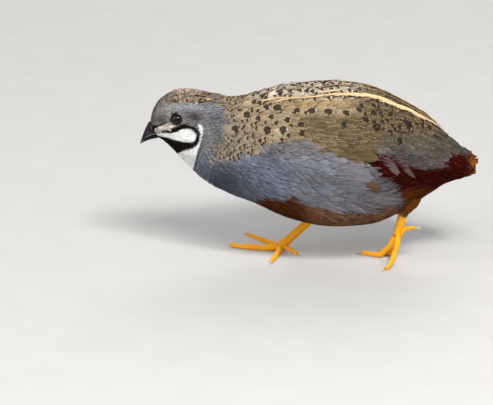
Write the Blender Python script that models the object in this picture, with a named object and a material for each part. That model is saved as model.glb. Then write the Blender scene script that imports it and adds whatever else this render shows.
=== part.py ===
"""A walking cock king quail, life size, as a still museum model.

The bird faces -X with +Z up, and its left side is towards -Y. The floor is z = 0. Sizes below are in
millimetres unless a name says otherwise, and MM turns them into Blender's metres.
"""

import math

import bmesh
import bpy
from mathutils import Matrix, Vector

MM = 0.001
GAP = 0.3  # clearance between pieces that touch
LEFT, RIGHT = -1, 1
SIDES = {LEFT: "left", RIGHT: "right"}

# Stations of the plumage outline, from the bill to the tail:
# place along the bird, back line, height of the widest point, belly line, half width.
STATIONS = (
    (-61.0, 49.6, 48.9, 48.0, 1.2),
    (-59.2, 52.3, 50.3, 47.6, 3.0),
    (-57.6, 57.0, 52.0, 47.4, 4.3),
    (-56.5, 60.2, 53.0, 47.3, 5.1),
    (-54.8, 62.0, 53.9, 47.0, 6.0),
    (-52.2, 63.9, 54.8, 45.1, 7.1),
    (-48.9, 65.6, 54.6, 41.6, 8.0),
    (-45.5, 66.1, 52.6, 37.6, 8.7),
    (-41.0, 65.6, 49.2, 33.9, 9.5),
    (-35.0, 64.2, 45.5, 30.4, 11.2),
    (-28.0, 62.8, 42.6, 26.8, 14.2),
    (-19.8, 64.4, 41.0, 22.9, 17.6),
    (-7.5, 67.5, 40.0, 17.0, 20.7),
    (9.0, 68.8, 39.5, 13.6, 22.2),
    (22.0, 67.1, 39.5, 14.3, 20.8),
    (29.0, 64.3, 39.4, 16.3, 18.9),
    (35.5, 60.9, 39.4, 20.3, 16.8),
    (46.0, 54.2, 38.5, 25.4, 12.2),
    (54.0, 46.8, 37.2, 29.6, 8.2),
    (60.0, 39.4, 35.2, 31.4, 5.2),
)

# Swells and hollows on the sides of the head and body:
# place along, height, reach along, reach in height, lift.
RELIEF = (
    (-49.5, 61.4, 4.0, 1.6, 0.55),  # brow over the eye
    (-53.5, 55.6, 2.2, 2.4, -0.55),  # lore, between eye and bill
    (-45.0, 50.5, 4.2, 4.0, 0.75),  # cheek
    (-43.0, 57.5, 2.6, 3.0, 0.45),  # ear coverts
    (-22.0, 34.0, 9.0, 8.0, 0.9),  # side of the crop
    (24.0, 27.0, 12.0, 8.0, 1.1),  # flank over the thigh
)

BODY_SEGMENTS = 32

# The cuts between head, neck, torso and tail, as a point and a normal in the plane of symmetry.
BILL_CUT = ((-58.5, 53.5), (-0.91, -0.415))
NAPE_CUT = ((-40.5, 50.0), (-0.96, 0.28))
SHOULDER_CUT = ((-27.0, 46.0), (-0.97, 0.24))
RUMP_CUT = ((48.5, 40.0), (-0.99, -0.12))

# Eye
EYE_ALONG, EYE_UP = -48.6, 56.5
EYE_RADIUS = 2.6
EYE_OPENING = 1.75
LID_THICKNESS = 0.5

# Bill: curves in the plane of symmetry, each as start, pull and end
CULMEN = ((-58.9, 53.2), (-61.3, 49.9), (-62.5, 44.2))
MOUTH_LINE = ((-56.75, 48.45), (-59.9, 48.2), (-62.05, 44.8))
GONYS = ((-56.2, 47.3), (-59.4, 46.7), (-61.5, 45.2))
BILL_HALF_WIDTH = 2.35
NOSTRIL = (-59.4, 50.7)

# Leg sizes
SHANK_RADIUS = 1.6
THIGH_RADII = (2.3, 3.0, 3.8, 4.5, 4.9, 5.0)  # from the heel up
BALL_RADIUS = 1.95
TOE_RADIUS = {"inner": 1.15, "middle": 1.3, "outer": 1.1, "hind": 0.9}
TOE_TAPER = 0.5
SCUTE_PITCH = 1.25
SCUTE_RISE = 0.09
CLAW_LENGTH = {"inner": 2.2, "middle": 2.7, "outer": 2.2, "hind": 1.7}
SOLE_FLAT = 0.16  # share of a toe's radius that is taken off where it stands

# Each foot: the ball, the point where the shank leaves the plumage, the top of the thigh's
# feathering, and each toe's route from beside the ball to the root of its claw. A height of 0
# stands for a toe that lies on the floor.
FEET = {
    RIGHT: {
        "ball": (-10.0, 9.0, 1.85),
        "heel": (0.5, 9.0, 11.8),
        "thigh": (8.5, 9.2, 19.5),
        "toes": {
            "middle": ((-12.0, 9.2, 1.6), (-17.6, 10.0, 0), (-23.4, 11.3, 0), (-28.6, 13.0, 1.1)),
            "inner": ((-10.4, 7.0, 1.6), (-11.6, 2.6, 0), (-12.8, -1.6, 0), (-13.7, -4.8, 0)),
            "outer": ((-11.4, 10.6, 1.8), (-14.9, 13.8, 1.9), (-18.6, 16.8, 2.4), (-22.4, 19.2, 3.1)),
            "hind": ((-8.4, 7.8, 1.9), (-6.0, 5.9, 1.3), (-3.8, 4.3, 0)),
        },
    },
    LEFT: {
        "ball": (33.4, -3.2, 11.1),
        "heel": (34.9, -5.2, 19.6),
        "thigh": (37.5, -6.0, 26.5),
        "toes": {
            "middle": ((32.4, -2.6, 9.2), (29.6, -0.6, 4.2), (25.4, 2.2, 0), (20.4, 4.6, 0)),
            "inner": ((32.8, -1.8, 9.6), (31.4, 1.2, 4.8), (30.0, 3.9, 0), (27.6, 6.9, 0)),
            "outer": ((33.3, -4.4, 9.6), (32.4, -7.2, 6.0), (30.5, -10.6, 1.9), (28.3, -13.4, 0)),
            "hind": ((35.0, -3.4, 12.2), (37.4, -3.6, 13.3), (39.9, -3.8, 13.4)),
        },
    },
}
TOE_SIDES = 8

# Wing: the shell's spread over the body, along it and round it from the back (degrees)
WING_FRONT, WING_REAR = -19.0, 37.0
WING_TOP_DEGREES, WING_BOTTOM_DEGREES = 40.0, 88.0
WING_CLEARANCE = 0.4
WING_DEPTH = 2.0
WING_RIM = 0.5

# Tiers of the folded wing: how many vanes, where the roots and tips of the first and the last
# vane lie (along, degrees from the back), half width, the lift over the body at root and tip,
# and the depth from a vane's upper face down to its underside.
WING_TIERS = (
    ("primary", 5, (8.0, 93.0), (16.0, 87.0), (34.5, 98.0), (47.5, 84.0), 2.6, 1.1, 1.1, 0.6),
    ("secondary", 5, (2.0, 84.0), (6.0, 62.0), (28.0, 94.0), (43.0, 72.0), 3.3, 1.5, 1.6, 0.9),
    ("tertial", 3, (-2.0, 60.0), (2.0, 44.0), (33.0, 66.0), (40.0, 50.0), 4.6, 1.9, 2.1, 1.3),
    ("greater_covert", 6, (-8.0, 84.0), (-6.0, 48.0), (10.0, 88.0), (15.0, 52.0), 3.2, 1.9, 2.5, 1.7),
    ("median_covert", 5, (-13.0, 78.0), (-12.0, 48.0), (-1.5, 82.0), (3.0, 52.0), 3.2, 1.7, 2.7, 1.8),
    ("lesser_covert", 4, (-17.6, 66.0), (-17.6, 54.0), (-8.5, 76.0), (-7.0, 52.0), 3.0, 0.9, 2.5, 1.3),
)

# Tail: tiers of vanes round the rump, half of each tier to a side, told by degrees from the
# back line of the first and the last, places of root and tip, half width, lifts and depth
TAIL_END = 62.5
TAIL_TIERS = (
    ("tail_feather", 8, 14.0, 128.0, 49.5, TAIL_END, 2.0, -0.7, -0.5, 0.7),
    ("upper_covert", 6, 12.0, 84.0, 49.0, 57.5, 2.6, -0.1, 0.7, 1.2),
    ("under_covert", 4, 140.0, 170.0, 49.0, 58.0, 2.2, -0.1, 0.4, 1.0),
)

COLOURS = {
    "slate": (0.20, 0.24, 0.31, 1.0),
    "brown": (0.25, 0.20, 0.13, 1.0),
    "chestnut": (0.16, 0.03, 0.015, 1.0),
    "horn": (0.03, 0.03, 0.035, 1.0),
    "eye": (0.02, 0.01, 0.008, 1.0),
    "leg": (0.82, 0.40, 0.04, 1.0),
    "claw": (0.55, 0.42, 0.28, 1.0),
}
ROUGHNESS = {"eye": 0.08, "horn": 0.35, "leg": 0.45, "claw": 0.4}


def clear_scene():
    for obj in list(bpy.data.objects):
        bpy.data.objects.remove(obj, do_unlink=True)


def new_collection(name):
    made = bpy.data.collections.new(name)
    bpy.context.scene.collection.children.link(made)
    return made


def new_material(name):
    material = bpy.data.materials.new(name)
    material.use_nodes = True
    shader = material.node_tree.nodes["Principled BSDF"]
    shader.inputs["Base Color"].default_value = COLOURS[name]
    shader.inputs["Roughness"].default_value = ROUGHNESS.get(name, 0.75)
    return material


def between(a, b, share):
    return a + (b - a) * share


def slopes(places, values):
    """Slopes of a smooth line through the values that never swings past them."""
    steps = [(values[i + 1] - values[i]) / (places[i + 1] - places[i]) for i in range(len(values) - 1)]
    found = [steps[0]]
    for before, after in zip(steps, steps[1:]):
        found.append(2 * before * after / (before + after) if before * after > 0 else 0.0)
    found.append(steps[-1])
    return found


PLACES = [station[0] for station in STATIONS]
OUTLINE = [[station[column] for station in STATIONS] for column in range(1, 5)]
OUTLINE_SLOPES = [slopes(PLACES, line) for line in OUTLINE]


def outline_at(along):
    """Back line, widest height, belly line and half width at a place along the bird."""
    along = min(max(along, PLACES[0]), PLACES[-1])
    i = max(k for k in range(len(PLACES) - 1) if PLACES[k] <= along)
    span = PLACES[i + 1] - PLACES[i]
    t = (along - PLACES[i]) / span
    found = []
    for line, tangent in zip(OUTLINE, OUTLINE_SLOPES):
        found.append(
            line[i] * (2 * t**3 - 3 * t**2 + 1)
            + line[i + 1] * (3 * t**2 - 2 * t**3)
            + span * tangent[i] * (t**3 - 2 * t**2 + t)
            + span * tangent[i + 1] * (t**3 - t**2)
        )
    return found


def relief_at(along, height):
    return sum(
        lift * math.exp(-(((along - x) / reach) ** 2) - ((height - z) / rise) ** 2)
        for x, z, reach, rise, lift in RELIEF
    )


def skin_point(along, degrees, side):
    """A point of the plumage outline, by its angle from the back line on one side."""
    back, widest, belly, half_width = outline_at(along)
    angle = math.radians(degrees)
    rise = math.cos(angle)
    height = widest + rise * (back - widest if rise > 0 else widest - belly)
    swell = relief_at(along, height) * math.sin(angle)
    return Vector((along, side * (half_width * math.sin(angle) + swell), height))


def skin_normal(along, degrees, side):
    step, turn = 0.4, 2.0
    run = skin_point(along + step, degrees, side) - skin_point(along - step, degrees, side)
    round_body = skin_point(along, degrees + turn, side) - skin_point(along, degrees - turn, side)
    normal = run.cross(round_body) * side
    return normal.normalized()


def on_body(along, degrees, side, lift):
    return skin_point(along, degrees, side) + skin_normal(along, degrees, side) * lift


def mesh_of(name, points, faces):
    """A mesh in metres from points in millimetres, with its faces turned to point out."""
    mesh = bpy.data.meshes.new(name)
    mesh.from_pydata([tuple(c * MM for c in p) for p in points], [], faces)
    shaped = bmesh.new()
    shaped.from_mesh(mesh)
    bmesh.ops.recalc_face_normals(shaped, faces=shaped.faces)
    shaped.to_mesh(mesh)
    shaped.free()
    return mesh


def new_object(name, mesh, collection):
    obj = bpy.data.objects.new(name, mesh)
    collection.objects.link(obj)
    return obj


def loft(rings):
    """Points and faces of a closed form through rings of equal length, capped at both ends."""
    count = len(rings[0])
    points = [point for ring in rings for point in ring]
    faces = [tuple(range(count)), tuple(range(len(points) - count, len(points)))]
    for r in range(len(rings) - 1):
        for k in range(count):
            a, b = r * count + k, r * count + (k + 1) % count
            faces += [(a, b, b + count), (a, b + count, a + count)]
    return points, faces


def body_ring(along, lift=0.0):
    ring = []
    for k in range(BODY_SEGMENTS):
        degrees = 360.0 * k / BODY_SEGMENTS
        side, turn = (LEFT, degrees) if degrees <= 180 else (RIGHT, 360 - degrees)
        ring.append(on_body(along, turn, side, lift) if lift else skin_point(along, turn, side))
    return ring


def body_length(front, rear, spacing, lift=0.0):
    count = max(2, round((rear - front) / spacing))
    return loft([body_ring(between(front, rear, i / count), lift) for i in range(count + 1)])


def cut_at(obj, point, outward):
    """Cuts a mesh at a plane, drops what lies outward of it and closes the opening."""
    shaped = bmesh.new()
    shaped.from_mesh(obj.data)
    cut = bmesh.ops.bisect_plane(
        shaped,
        geom=shaped.verts[:] + shaped.edges[:] + shaped.faces[:],
        plane_co=point * MM,
        plane_no=outward,
        clear_outer=True,
    )
    edges = [item for item in cut["geom_cut"] if isinstance(item, bmesh.types.BMEdge)]
    bmesh.ops.edgeloop_fill(shaped, edges=edges)
    bmesh.ops.recalc_face_normals(shaped, faces=shaped.faces)
    shaped.to_mesh(obj.data)
    shaped.free()


def part_at(obj, plane, keep_ahead):
    """Cuts a mesh at one of the planes across the bird, half the gap short of it."""
    (along, height), (nx, nz) = plane
    normal = Vector((nx, 0, nz)).normalized() * (1 if keep_ahead else -1)
    cut_at(obj, Vector((along, 0, height)) + normal * GAP / 2, -normal)


def stand_on_floor(obj):
    """Takes off what lies below the floor, which leaves a small flat to stand on."""
    cut_at(obj, Vector((0, 0, 0)), Vector((0, 0, -1)))


def apply_modifiers(obj):
    graph = bpy.context.evaluated_depsgraph_get()
    mesh = bpy.data.meshes.new_from_object(obj.evaluated_get(graph))
    obj.modifiers.clear()
    obj.data = mesh


def keep_largest_surface(obj):
    """Drops loose scraps and the walls of sealed hollows, and leaves one closed surface."""
    shaped = bmesh.new()
    shaped.from_mesh(obj.data)
    unseen, groups = set(shaped.verts), []
    while unseen:
        group, front = set(), [unseen.pop()]
        while front:
            vertex = front.pop()
            group.add(vertex)
            for edge in vertex.link_edges:
                other = edge.other_vert(vertex)
                if other in unseen:
                    unseen.discard(other)
                    front.append(other)
        groups.append(group)
    groups.sort(key=len)
    for group in groups[:-1]:
        bmesh.ops.delete(shaped, geom=list(group), context="VERTS")
    shaped.to_mesh(obj.data)
    shaped.free()


def join_pieces(obj, pieces):
    """Fuses closed pieces into obj with one Boolean and removes them."""
    group = bpy.data.collections.new(obj.name + "_pieces")
    bpy.context.scene.collection.children.link(group)
    for i, mesh in enumerate(pieces):
        new_object(f"{obj.name}_piece_{i}", mesh, group)
    union = obj.modifiers.new("join", "BOOLEAN")
    union.operation = "UNION"
    union.solver = "MANIFOLD"
    union.operand_type = "COLLECTION"
    union.collection = group
    apply_modifiers(obj)
    for piece in list(group.objects):
        bpy.data.objects.remove(piece, do_unlink=True)
    bpy.data.collections.remove(group)
    keep_largest_surface(obj)


def cut_away(obj, cutter):
    """Takes a cutter's shape out of obj for good, so that the result can be cut again."""
    cut = obj.modifiers.new("cut", "BOOLEAN")
    cut.operation = "DIFFERENCE"
    cut.object = cutter
    apply_modifiers(obj)
    keep_largest_surface(obj)


def new_cutter(name, mesh, cutters):
    cutter = new_object(name, mesh, cutters)
    cutter.hide_render = True
    cutter.display_type = "WIRE"
    return cutter


def ball_mesh(centre, radius, rings=10, segments=16, stretch=(1, 1, 1)):
    """A round or oval ball with its poles on a line across the bird."""
    mesh = bpy.data.meshes.new("ball")
    shaped = bmesh.new()
    bmesh.ops.create_uvsphere(
        shaped,
        u_segments=segments,
        v_segments=rings,
        radius=radius * MM,
        matrix=Matrix.Translation(Vector(centre) * MM)
        @ Matrix.Diagonal((*stretch, 1))
        @ Matrix.Rotation(math.pi / 2, 4, "X"),
    )
    bmesh.ops.recalc_face_normals(shaped, faces=shaped.faces)
    shaped.to_mesh(mesh)
    shaped.free()
    return mesh


def lid_mesh(side):
    """The raised rim of the eyelids, a ring drawn out along the head."""
    middle = skin_point(EYE_ALONG, eye_degrees(), side)
    bpy.ops.mesh.primitive_torus_add(
        major_segments=20,
        minor_segments=6,
        major_radius=(EYE_OPENING + LID_THICKNESS * 0.75) * MM,
        minor_radius=LID_THICKNESS * MM,
    )
    ring = bpy.context.object
    turn = Matrix.Rotation(math.pi / 2, 4, "X")
    stretch = Matrix.Diagonal((1.08, 1.0, 0.96, 1.0))
    ring.data.transform(Matrix.Translation(middle * MM) @ stretch @ turn)
    mesh = ring.data
    bpy.data.objects.remove(ring, do_unlink=True)
    return mesh


def eye_degrees():
    """The angle from the back line at which the outline has the eye's height."""
    back, widest, belly, _ = outline_at(EYE_ALONG)
    return math.degrees(math.acos((EYE_UP - widest) / (back - widest)))


def eye_centre(side):
    sunk = math.sqrt(EYE_RADIUS**2 - EYE_OPENING**2)
    surface = skin_point(EYE_ALONG, eye_degrees(), side)
    return surface - Vector((0, side * sunk, 0))


def make_head(parts, cutters, material):
    head = new_object("head", mesh_of("head", *body_length(-61.0, -33.0, 1.9)), parts)
    part_at(head, BILL_CUT, keep_ahead=False)
    part_at(head, NAPE_CUT, keep_ahead=True)
    join_pieces(head, [lid_mesh(side) for side in SIDES])
    for side, name in SIDES.items():
        socket = ball_mesh(eye_centre(side), EYE_RADIUS + GAP)
        cut_away(head, new_cutter(name + "_socket", socket, cutters))
    finish(head, material)


def make_eyes(parts, material):
    for side, name in SIDES.items():
        eye = ball_mesh(eye_centre(side), EYE_RADIUS, rings=10, segments=18)
        finish(new_object(name + "_eye", eye, parts), material)


def curve_point(bend, t):
    """A point of a quadratic curve in the plane of symmetry."""
    start, pull, end = (Vector((x, 0, z)) for x, z in bend)
    return start * (1 - t) ** 2 + pull * 2 * t * (1 - t) + end * t**2


def mandible(top_bend, bottom_bend, width, top_drop, bottom_lift, rings=9, sides=14):
    """A half of the bill between two curves, drawn in from them by the given distances."""
    loops = []
    for i in range(rings):
        t = i / (rings - 1) * 0.985
        top, bottom = curve_point(top_bend, t), curve_point(bottom_bend, t)
        middle, half = (top + bottom) / 2, (top - bottom) / 2
        shrink = max(0.3, 1 - (top_drop + bottom_lift) / max((top - bottom).length, 0.01))
        middle += half.normalized() * (bottom_lift - top_drop) / 2
        reach = width * (1 - t**1.6) ** 0.75 + 0.22
        loops.append(
            [
                middle
                + half * shrink * math.cos(2 * math.pi * k / sides)
                + Vector((0, reach * math.sin(turn) * (1 - 0.28 * math.cos(turn)), 0))
                for k in range(sides)
                for turn in [2 * math.pi * k / sides]
            ]
        )
    return loft(loops)


def make_bill(parts, cutters, material):
    upper = mandible(CULMEN, MOUTH_LINE, BILL_HALF_WIDTH, 0.0, 0.0)
    upper = new_object("upper_bill", mesh_of("upper_bill", *upper), parts)
    lower = mandible(MOUTH_LINE, GONYS, BILL_HALF_WIDTH * 0.86, GAP * 1.3, 0.0)
    lower = new_object("lower_bill", mesh_of("lower_bill", *lower), parts)
    for side, name in SIDES.items():
        place = (NOSTRIL[0], side * 1.75, NOSTRIL[1])
        slit = ball_mesh(place, 0.5, rings=6, segments=10, stretch=(1.25, 0.9, 0.7))
        cut_away(upper, new_cutter(name + "_nostril", slit, cutters))
    finish(upper, material)
    finish(lower, material)


def make_neck(parts, material):
    neck = new_object("neck", mesh_of("neck", *body_length(-46.0, -22.0, 3.0)), parts)
    part_at(neck, NAPE_CUT, keep_ahead=False)
    part_at(neck, SHOULDER_CUT, keep_ahead=True)
    finish(neck, material)


def make_torso(parts, material):
    torso = new_object("torso", mesh_of("torso", *body_length(-34.0, 54.0, 4.4)), parts)
    part_at(torso, SHOULDER_CUT, keep_ahead=False)
    part_at(torso, RUMP_CUT, keep_ahead=True)
    finish(torso, material)


def vane(route, half_width, root_lift, tip_lift, depth, side, tilt, lowest, rings=5):
    """A feather's vane over the body: a thin closed blade with a rounded end.

    route runs from root to tip as places (along, degrees), the lifts are its upper face's, tilt
    raises its lower edge, and its underside stays above the lowest lift.
    """
    curve_radius = 24.0
    (x0, d0), (x1, d1) = route
    loops = []
    for i in range(rings):
        t = i / (rings - 1)
        reach = half_width * (0.55 + 0.45 * math.sin(math.pi * min(t * 1.25, 1) * 0.5))
        reach *= math.sqrt(max(0.0, 1 - max(0.0, (t - 0.62) / 0.38) ** 2.4)) * 0.8 + 0.2
        along, degrees = between(x0, x1, t), between(d0, d1, t)
        ahead = skin_point(along + 0.2 * (x1 - x0), degrees + 0.2 * (d1 - d0), side)
        centre = skin_point(along, degrees, side)
        normal = skin_normal(along, degrees, side)
        across = (ahead - centre).cross(normal).normalized() * -side
        lift = between(root_lift, tip_lift, t)
        thick = depth * (1.0 - 0.3 * t)
        top, bottom = [], []
        for k in (-1, 0, 1):
            base = centre + across * k * reach - normal * (k * reach) ** 2 / (2 * curve_radius)
            rise = lift + k * tilt + (0 if k else 0.15)
            edge = 1.0 if k == 0 else 0.7
            top.append(base + normal * rise)
            bottom.append(base + normal * max(rise - thick * edge, lowest))
        loops.append(top + bottom[::-1])
    return blade(loops)


def blade(loops):
    """Points and faces of a thin closed blade, split into triangles alike on both faces."""
    points = [point for ring in loops for point in ring]
    count, faces = len(loops[0]), []
    half = count // 2
    for end in (0, len(points) - count):
        for k in range(half - 1):
            a, b, c, d = end + k, end + k + 1, end + count - 2 - k, end + count - 1 - k
            faces += [(a, b, c), (a, c, d)]
    for r in range(len(loops) - 1):
        for k in range(count):
            a, b = r * count + k, r * count + (k + 1) % count
            c, d = a + count, b + count
            on_top = k < half - 1
            faces += [(a, b, d), (a, d, c)] if on_top or k == half - 1 else [(a, b, c), (b, d, c)]
    return points, faces


def wing_shell(side, rows=9, columns=10):
    """The arm and the hidden bases of the flight feathers: a plate that thins to its rim."""
    top, bottom = [], []
    for i in range(columns + 1):
        share = i / columns
        along = between(WING_FRONT, WING_REAR, share)
        middle = between(60.0, 80.0, share)
        round_front = math.sqrt(1 - 0.8 * max(0.0, 1 - share / 0.3) ** 2)
        round_rear = math.sqrt(1 - 0.6 * max(0.0, (share - 0.6) / 0.4) ** 2)
        spread = (WING_BOTTOM_DEGREES - WING_TOP_DEGREES) / 2 * round_front * round_rear
        for j in range(rows + 1):
            row = 2 * j / rows - 1
            rim = (1 - abs(row) ** 3) * (1 - abs(2 * share - 1) ** 4)
            thick = WING_RIM + (WING_DEPTH - WING_RIM) * rim * (1 - 0.45 * share)
            degrees = middle + row * spread
            bottom.append(on_body(along, degrees, side, WING_CLEARANCE))
            top.append(on_body(along, degrees, side, WING_CLEARANCE + thick))
    return plate(top, bottom, columns, rows)


def plate(top, bottom, columns, rows):
    """Points and faces of a curved plate from its two grids, split alike on both faces."""
    points, faces = top + bottom, []
    under, wide = len(top), rows + 1
    for i in range(columns):
        for j in range(rows):
            a = i * wide + j
            b, c, d = a + 1, a + wide, a + wide + 1
            faces += [(a, b, d), (a, d, c)]
            faces += [(under + a, under + d, under + b), (under + a, under + c, under + d)]
    rim = [j for j in range(rows)] + [i * wide + rows for i in range(columns)]
    rim += [columns * wide + j for j in range(rows, 0, -1)] + [i * wide for i in range(columns, 0, -1)]
    for a, b in zip(rim, rim[1:] + rim[:1]):
        faces += [(a, b, under + b), (a, under + b, under + a)]
    return points, faces


def make_wing(side, parts, material):
    name = SIDES[side] + "_wing"
    wing = new_object(name, mesh_of(name, *wing_shell(side)), parts)
    vanes = []
    for _, count, root_first, root_last, tip_first, tip_last, half_width, low, high, depth in WING_TIERS:
        for i in range(count):
            share = i / (count - 1)
            root = [between(a, b, share) for a, b in zip(root_first, root_last)]
            tip = [between(a, b, share) for a, b in zip(tip_first, tip_last)]
            form = vane((root, tip), half_width, low, high, depth, side, 0.16, WING_CLEARANCE)
            vanes.append(mesh_of("vane", *form))
    join_pieces(wing, vanes)
    finish(wing, material)


def make_tail(parts, material):
    core = body_length(42.0, 58.0, 3.2, -0.9)
    tail = new_object("tail", mesh_of("tail", *core), parts)
    vanes = []
    for _, count, first, last, root, tip, half_width, low, high, depth in TAIL_TIERS:
        for i in range(count // 2):
            degrees = between(first, last, i / (count // 2 - 1))
            reach = between(tip, tip - 1.6, i / (count // 2 - 1))
            for side in SIDES:
                route = ((root, degrees), (reach, degrees))
                form = vane(route, half_width, low, high, depth, side, 0.12, -2.0)
                vanes.append(mesh_of("vane", *form))
    join_pieces(tail, vanes)
    part_at(tail, RUMP_CUT, keep_ahead=False)
    keep_largest_surface(tail)
    finish(tail, material)


def smooth_route(points, count):
    """Evenly numbered points of a smooth curve through the given ones."""
    ends = [points[0] * 2 - points[1], *points, points[-1] * 2 - points[-2]]
    found = []
    for i in range(count):
        place = i / (count - 1) * (len(points) - 1)
        k = min(int(place), len(points) - 2)
        t = place - k
        a, b, c, d = ends[k : k + 4]
        found.append(
            (b * 2 + (c - a) * t + (a * 2 - b * 5 + c * 4 - d) * t**2 + (b * 3 - a - c * 3 + d) * t**3) / 2
        )
    return found


def tube(name, route, radii, collection):
    """A round bar of changing thickness along a route, as a welded mesh."""
    curve = bpy.data.curves.new(name, "CURVE")
    curve.dimensions = "3D"
    curve.bevel_depth = MM
    curve.bevel_resolution = TOE_SIDES // 2 - 2
    curve.use_fill_caps = True
    spline = curve.splines.new("POLY")
    spline.points.add(len(route) - 1)
    for spot, point, radius in zip(spline.points, route, radii):
        spot.co = (*(point * MM), 1)
        spot.radius = radius
    guide = new_object(name + "_line", curve, collection)
    graph = bpy.context.evaluated_depsgraph_get()
    mesh = bpy.data.meshes.new_from_object(guide.evaluated_get(graph))
    bpy.data.objects.remove(guide, do_unlink=True)
    shaped = bmesh.new()
    shaped.from_mesh(mesh)
    bmesh.ops.remove_doubles(shaped, verts=shaped.verts, dist=0.00001)
    bmesh.ops.recalc_face_normals(shaped, faces=shaped.faces)
    shaped.to_mesh(mesh)
    shaped.free()
    return new_object(name, mesh, collection)


def scuted(radius, place):
    """The radius at a distance along a toe or shank, stepped by the overlapping scutes."""
    return radius + SCUTE_RISE * (2 * (place / SCUTE_PITCH % 1.0) - 1)


def make_claw(name, start, ahead, length, radius, parts, material):
    """A tapered claw that curves down, from the toe's end on, with its tip clear of the floor."""
    route, radii = [], []
    count = 6
    for i in range(count):
        t = i / (count - 1)
        sag = Vector((0, 0, -0.5 * t * t))
        point = start + ahead * length * t + sag
        thick = radius * (1 - 0.82 * t)
        point.z = max(point.z, thick * 1.05)
        route.append(point)
        radii.append(thick)
    finish(tube(name, route, radii, parts), material)


def make_toe(name, digit, points, seats, parts, cutters, materials):
    """One toe, cut back from its seats at the ball of the foot, and its claw."""
    route = smooth_route([Vector(p) for p in points], 15)
    radii, place = [], 0.0
    for i, point in enumerate(route):
        place += (point - route[max(i - 1, 0)]).length
        share = i / (len(route) - 1)
        pads = 0.06 * math.cos(share * 6 * math.pi)
        radii.append(scuted(TOE_RADIUS[digit] * (1.12 - TOE_TAPER * share + pads), place))
        point.z = max(point.z, radii[-1] * (1 - SOLE_FLAT))
    radii[-1] *= 0.9
    toe = tube(name, route, radii, parts)
    for seat in seats:
        cut_away(toe, seat)
    stand_on_floor(toe)
    finish(toe, materials["leg"])
    seats.append(clearance_tube(name + "_clearance", route, radii, cutters))
    ahead = (route[-1] - route[-2]).normalized()
    ahead.z *= 0.4
    start = route[-1] + ahead * GAP
    make_claw(name + "_claw", start, ahead, CLAW_LENGTH[digit], radii[-1] * 0.8, parts, materials["claw"])


def clearance_tube(name, route, radii, cutters):
    cutter = tube(name, route, [radius + GAP for radius in radii], cutters)
    cutter.hide_render = True
    cutter.display_type = "WIRE"
    return cutter


def make_leg(side, parts, cutters, materials):
    foot, name = FEET[side], SIDES[side]
    centre, heel, thigh = (Vector(foot[key]) for key in ("ball", "heel", "thigh"))
    length = (heel - centre).length
    count = round(length / SCUTE_PITCH) * 2
    route = [between(centre, heel, i / count * (1 - GAP / length)) for i in range(count + 1)]
    radii = []
    for i in range(count + 1):
        near_ball = math.exp(-((i / count * length / 1.6) ** 2))
        radii.append(scuted(SHANK_RADIUS, i * 0.5 * SCUTE_PITCH) + 0.35 * near_ball)
    shank = tube(name + "_shank", route, radii, parts)
    join_pieces(shank, [ball_mesh(centre, BALL_RADIUS)])
    stand_on_floor(shank)
    finish(shank, materials["leg"])
    seats = [
        clearance_tube(name + "_shank_clearance", route, radii, cutters),
        new_cutter(name + "_ball_clearance", ball_mesh(centre, BALL_RADIUS + GAP), cutters),
    ]
    for digit, points in foot["toes"].items():
        points = (centre, *points)
        make_toe(f"{name}_{digit}_toe", digit, points, seats, parts, cutters, materials)
    feathered = [between(heel, thigh, i / 5) for i in range(6)]
    leg = tube(name + "_thigh", feathered, THIGH_RADII, parts)
    seat = mesh_of("seat", *body_length(-20.0, 54.0, 3.0, GAP))
    cut_away(leg, new_cutter(name + "_thigh_seat", seat, cutters))
    finish(leg, materials["brown"])


def finish(obj, material):
    obj.data.materials.clear()
    obj.data.materials.append(material)
    obj.data.shade_smooth()
    obj.data.set_sharp_from_angle(angle=math.radians(40))


def main():
    clear_scene()
    parts = new_collection("king_quail")
    cutters = new_collection("cutters")
    cutters.hide_render = True
    materials = {name: new_material(name) for name in COLOURS}
    make_head(parts, cutters, materials["slate"])
    make_eyes(parts, materials["eye"])
    make_bill(parts, cutters, materials["horn"])
    make_neck(parts, materials["slate"])
    make_torso(parts, materials["slate"])
    make_tail(parts, materials["chestnut"])
    for side in SIDES:
        make_wing(side, parts, materials["brown"])
        make_leg(side, parts, cutters, materials)


main()
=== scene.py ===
"""A walking cock king quail in full plumage, on a plain studio floor.

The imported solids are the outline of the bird. The skin lies inside them, and the feathers rise from
the skin to that outline. The bird faces -X with its left side towards -Y. Lengths are in
millimetres, and MM turns them into Blender's metres.
"""

import math

import bmesh
import bpy
import numpy as np
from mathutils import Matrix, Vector
from mathutils.bvhtree import BVHTree


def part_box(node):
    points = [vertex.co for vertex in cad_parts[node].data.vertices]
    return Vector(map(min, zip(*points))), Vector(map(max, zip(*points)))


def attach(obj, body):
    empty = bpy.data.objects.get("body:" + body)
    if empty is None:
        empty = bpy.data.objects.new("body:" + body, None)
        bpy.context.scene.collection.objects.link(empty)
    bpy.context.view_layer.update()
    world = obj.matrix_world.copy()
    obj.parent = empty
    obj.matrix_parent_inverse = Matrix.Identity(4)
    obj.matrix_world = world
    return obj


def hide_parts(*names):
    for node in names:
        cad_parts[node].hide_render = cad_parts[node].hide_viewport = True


MM = 0.001
LEFT, RIGHT = -1, 1
SIDES = {LEFT: "left", RIGHT: "right"}

# The photograph's view: how far the camera looks down, what it looks at, and how wide it sees
VIEW_DEGREES = 18.0
AIM = (-22.9, 0.0, 22.0)
CAMERA_DISTANCE = 1250.0
VIEW_WIDTH = 183.0
FLOOR_WIDTH = 6000.0

# The grid on which the outline of the plumage is measured. Its rings stand upright along the body
# and lean forward over the face, as far as the feathers' edge at the bill.
FIRST, LAST = -57.35, 58.0
RINGS, SPOKES = 197, 144
FACE_REAR, FACE_HEIGHT, FACE_LEAN = -49.5, 50.75, 24.5
PLUMED = ("head", "neck", "torso", "tail", "left_wing", "right_wing")
FLESH = PLUMED + ("left_thigh", "right_thigh")

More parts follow.
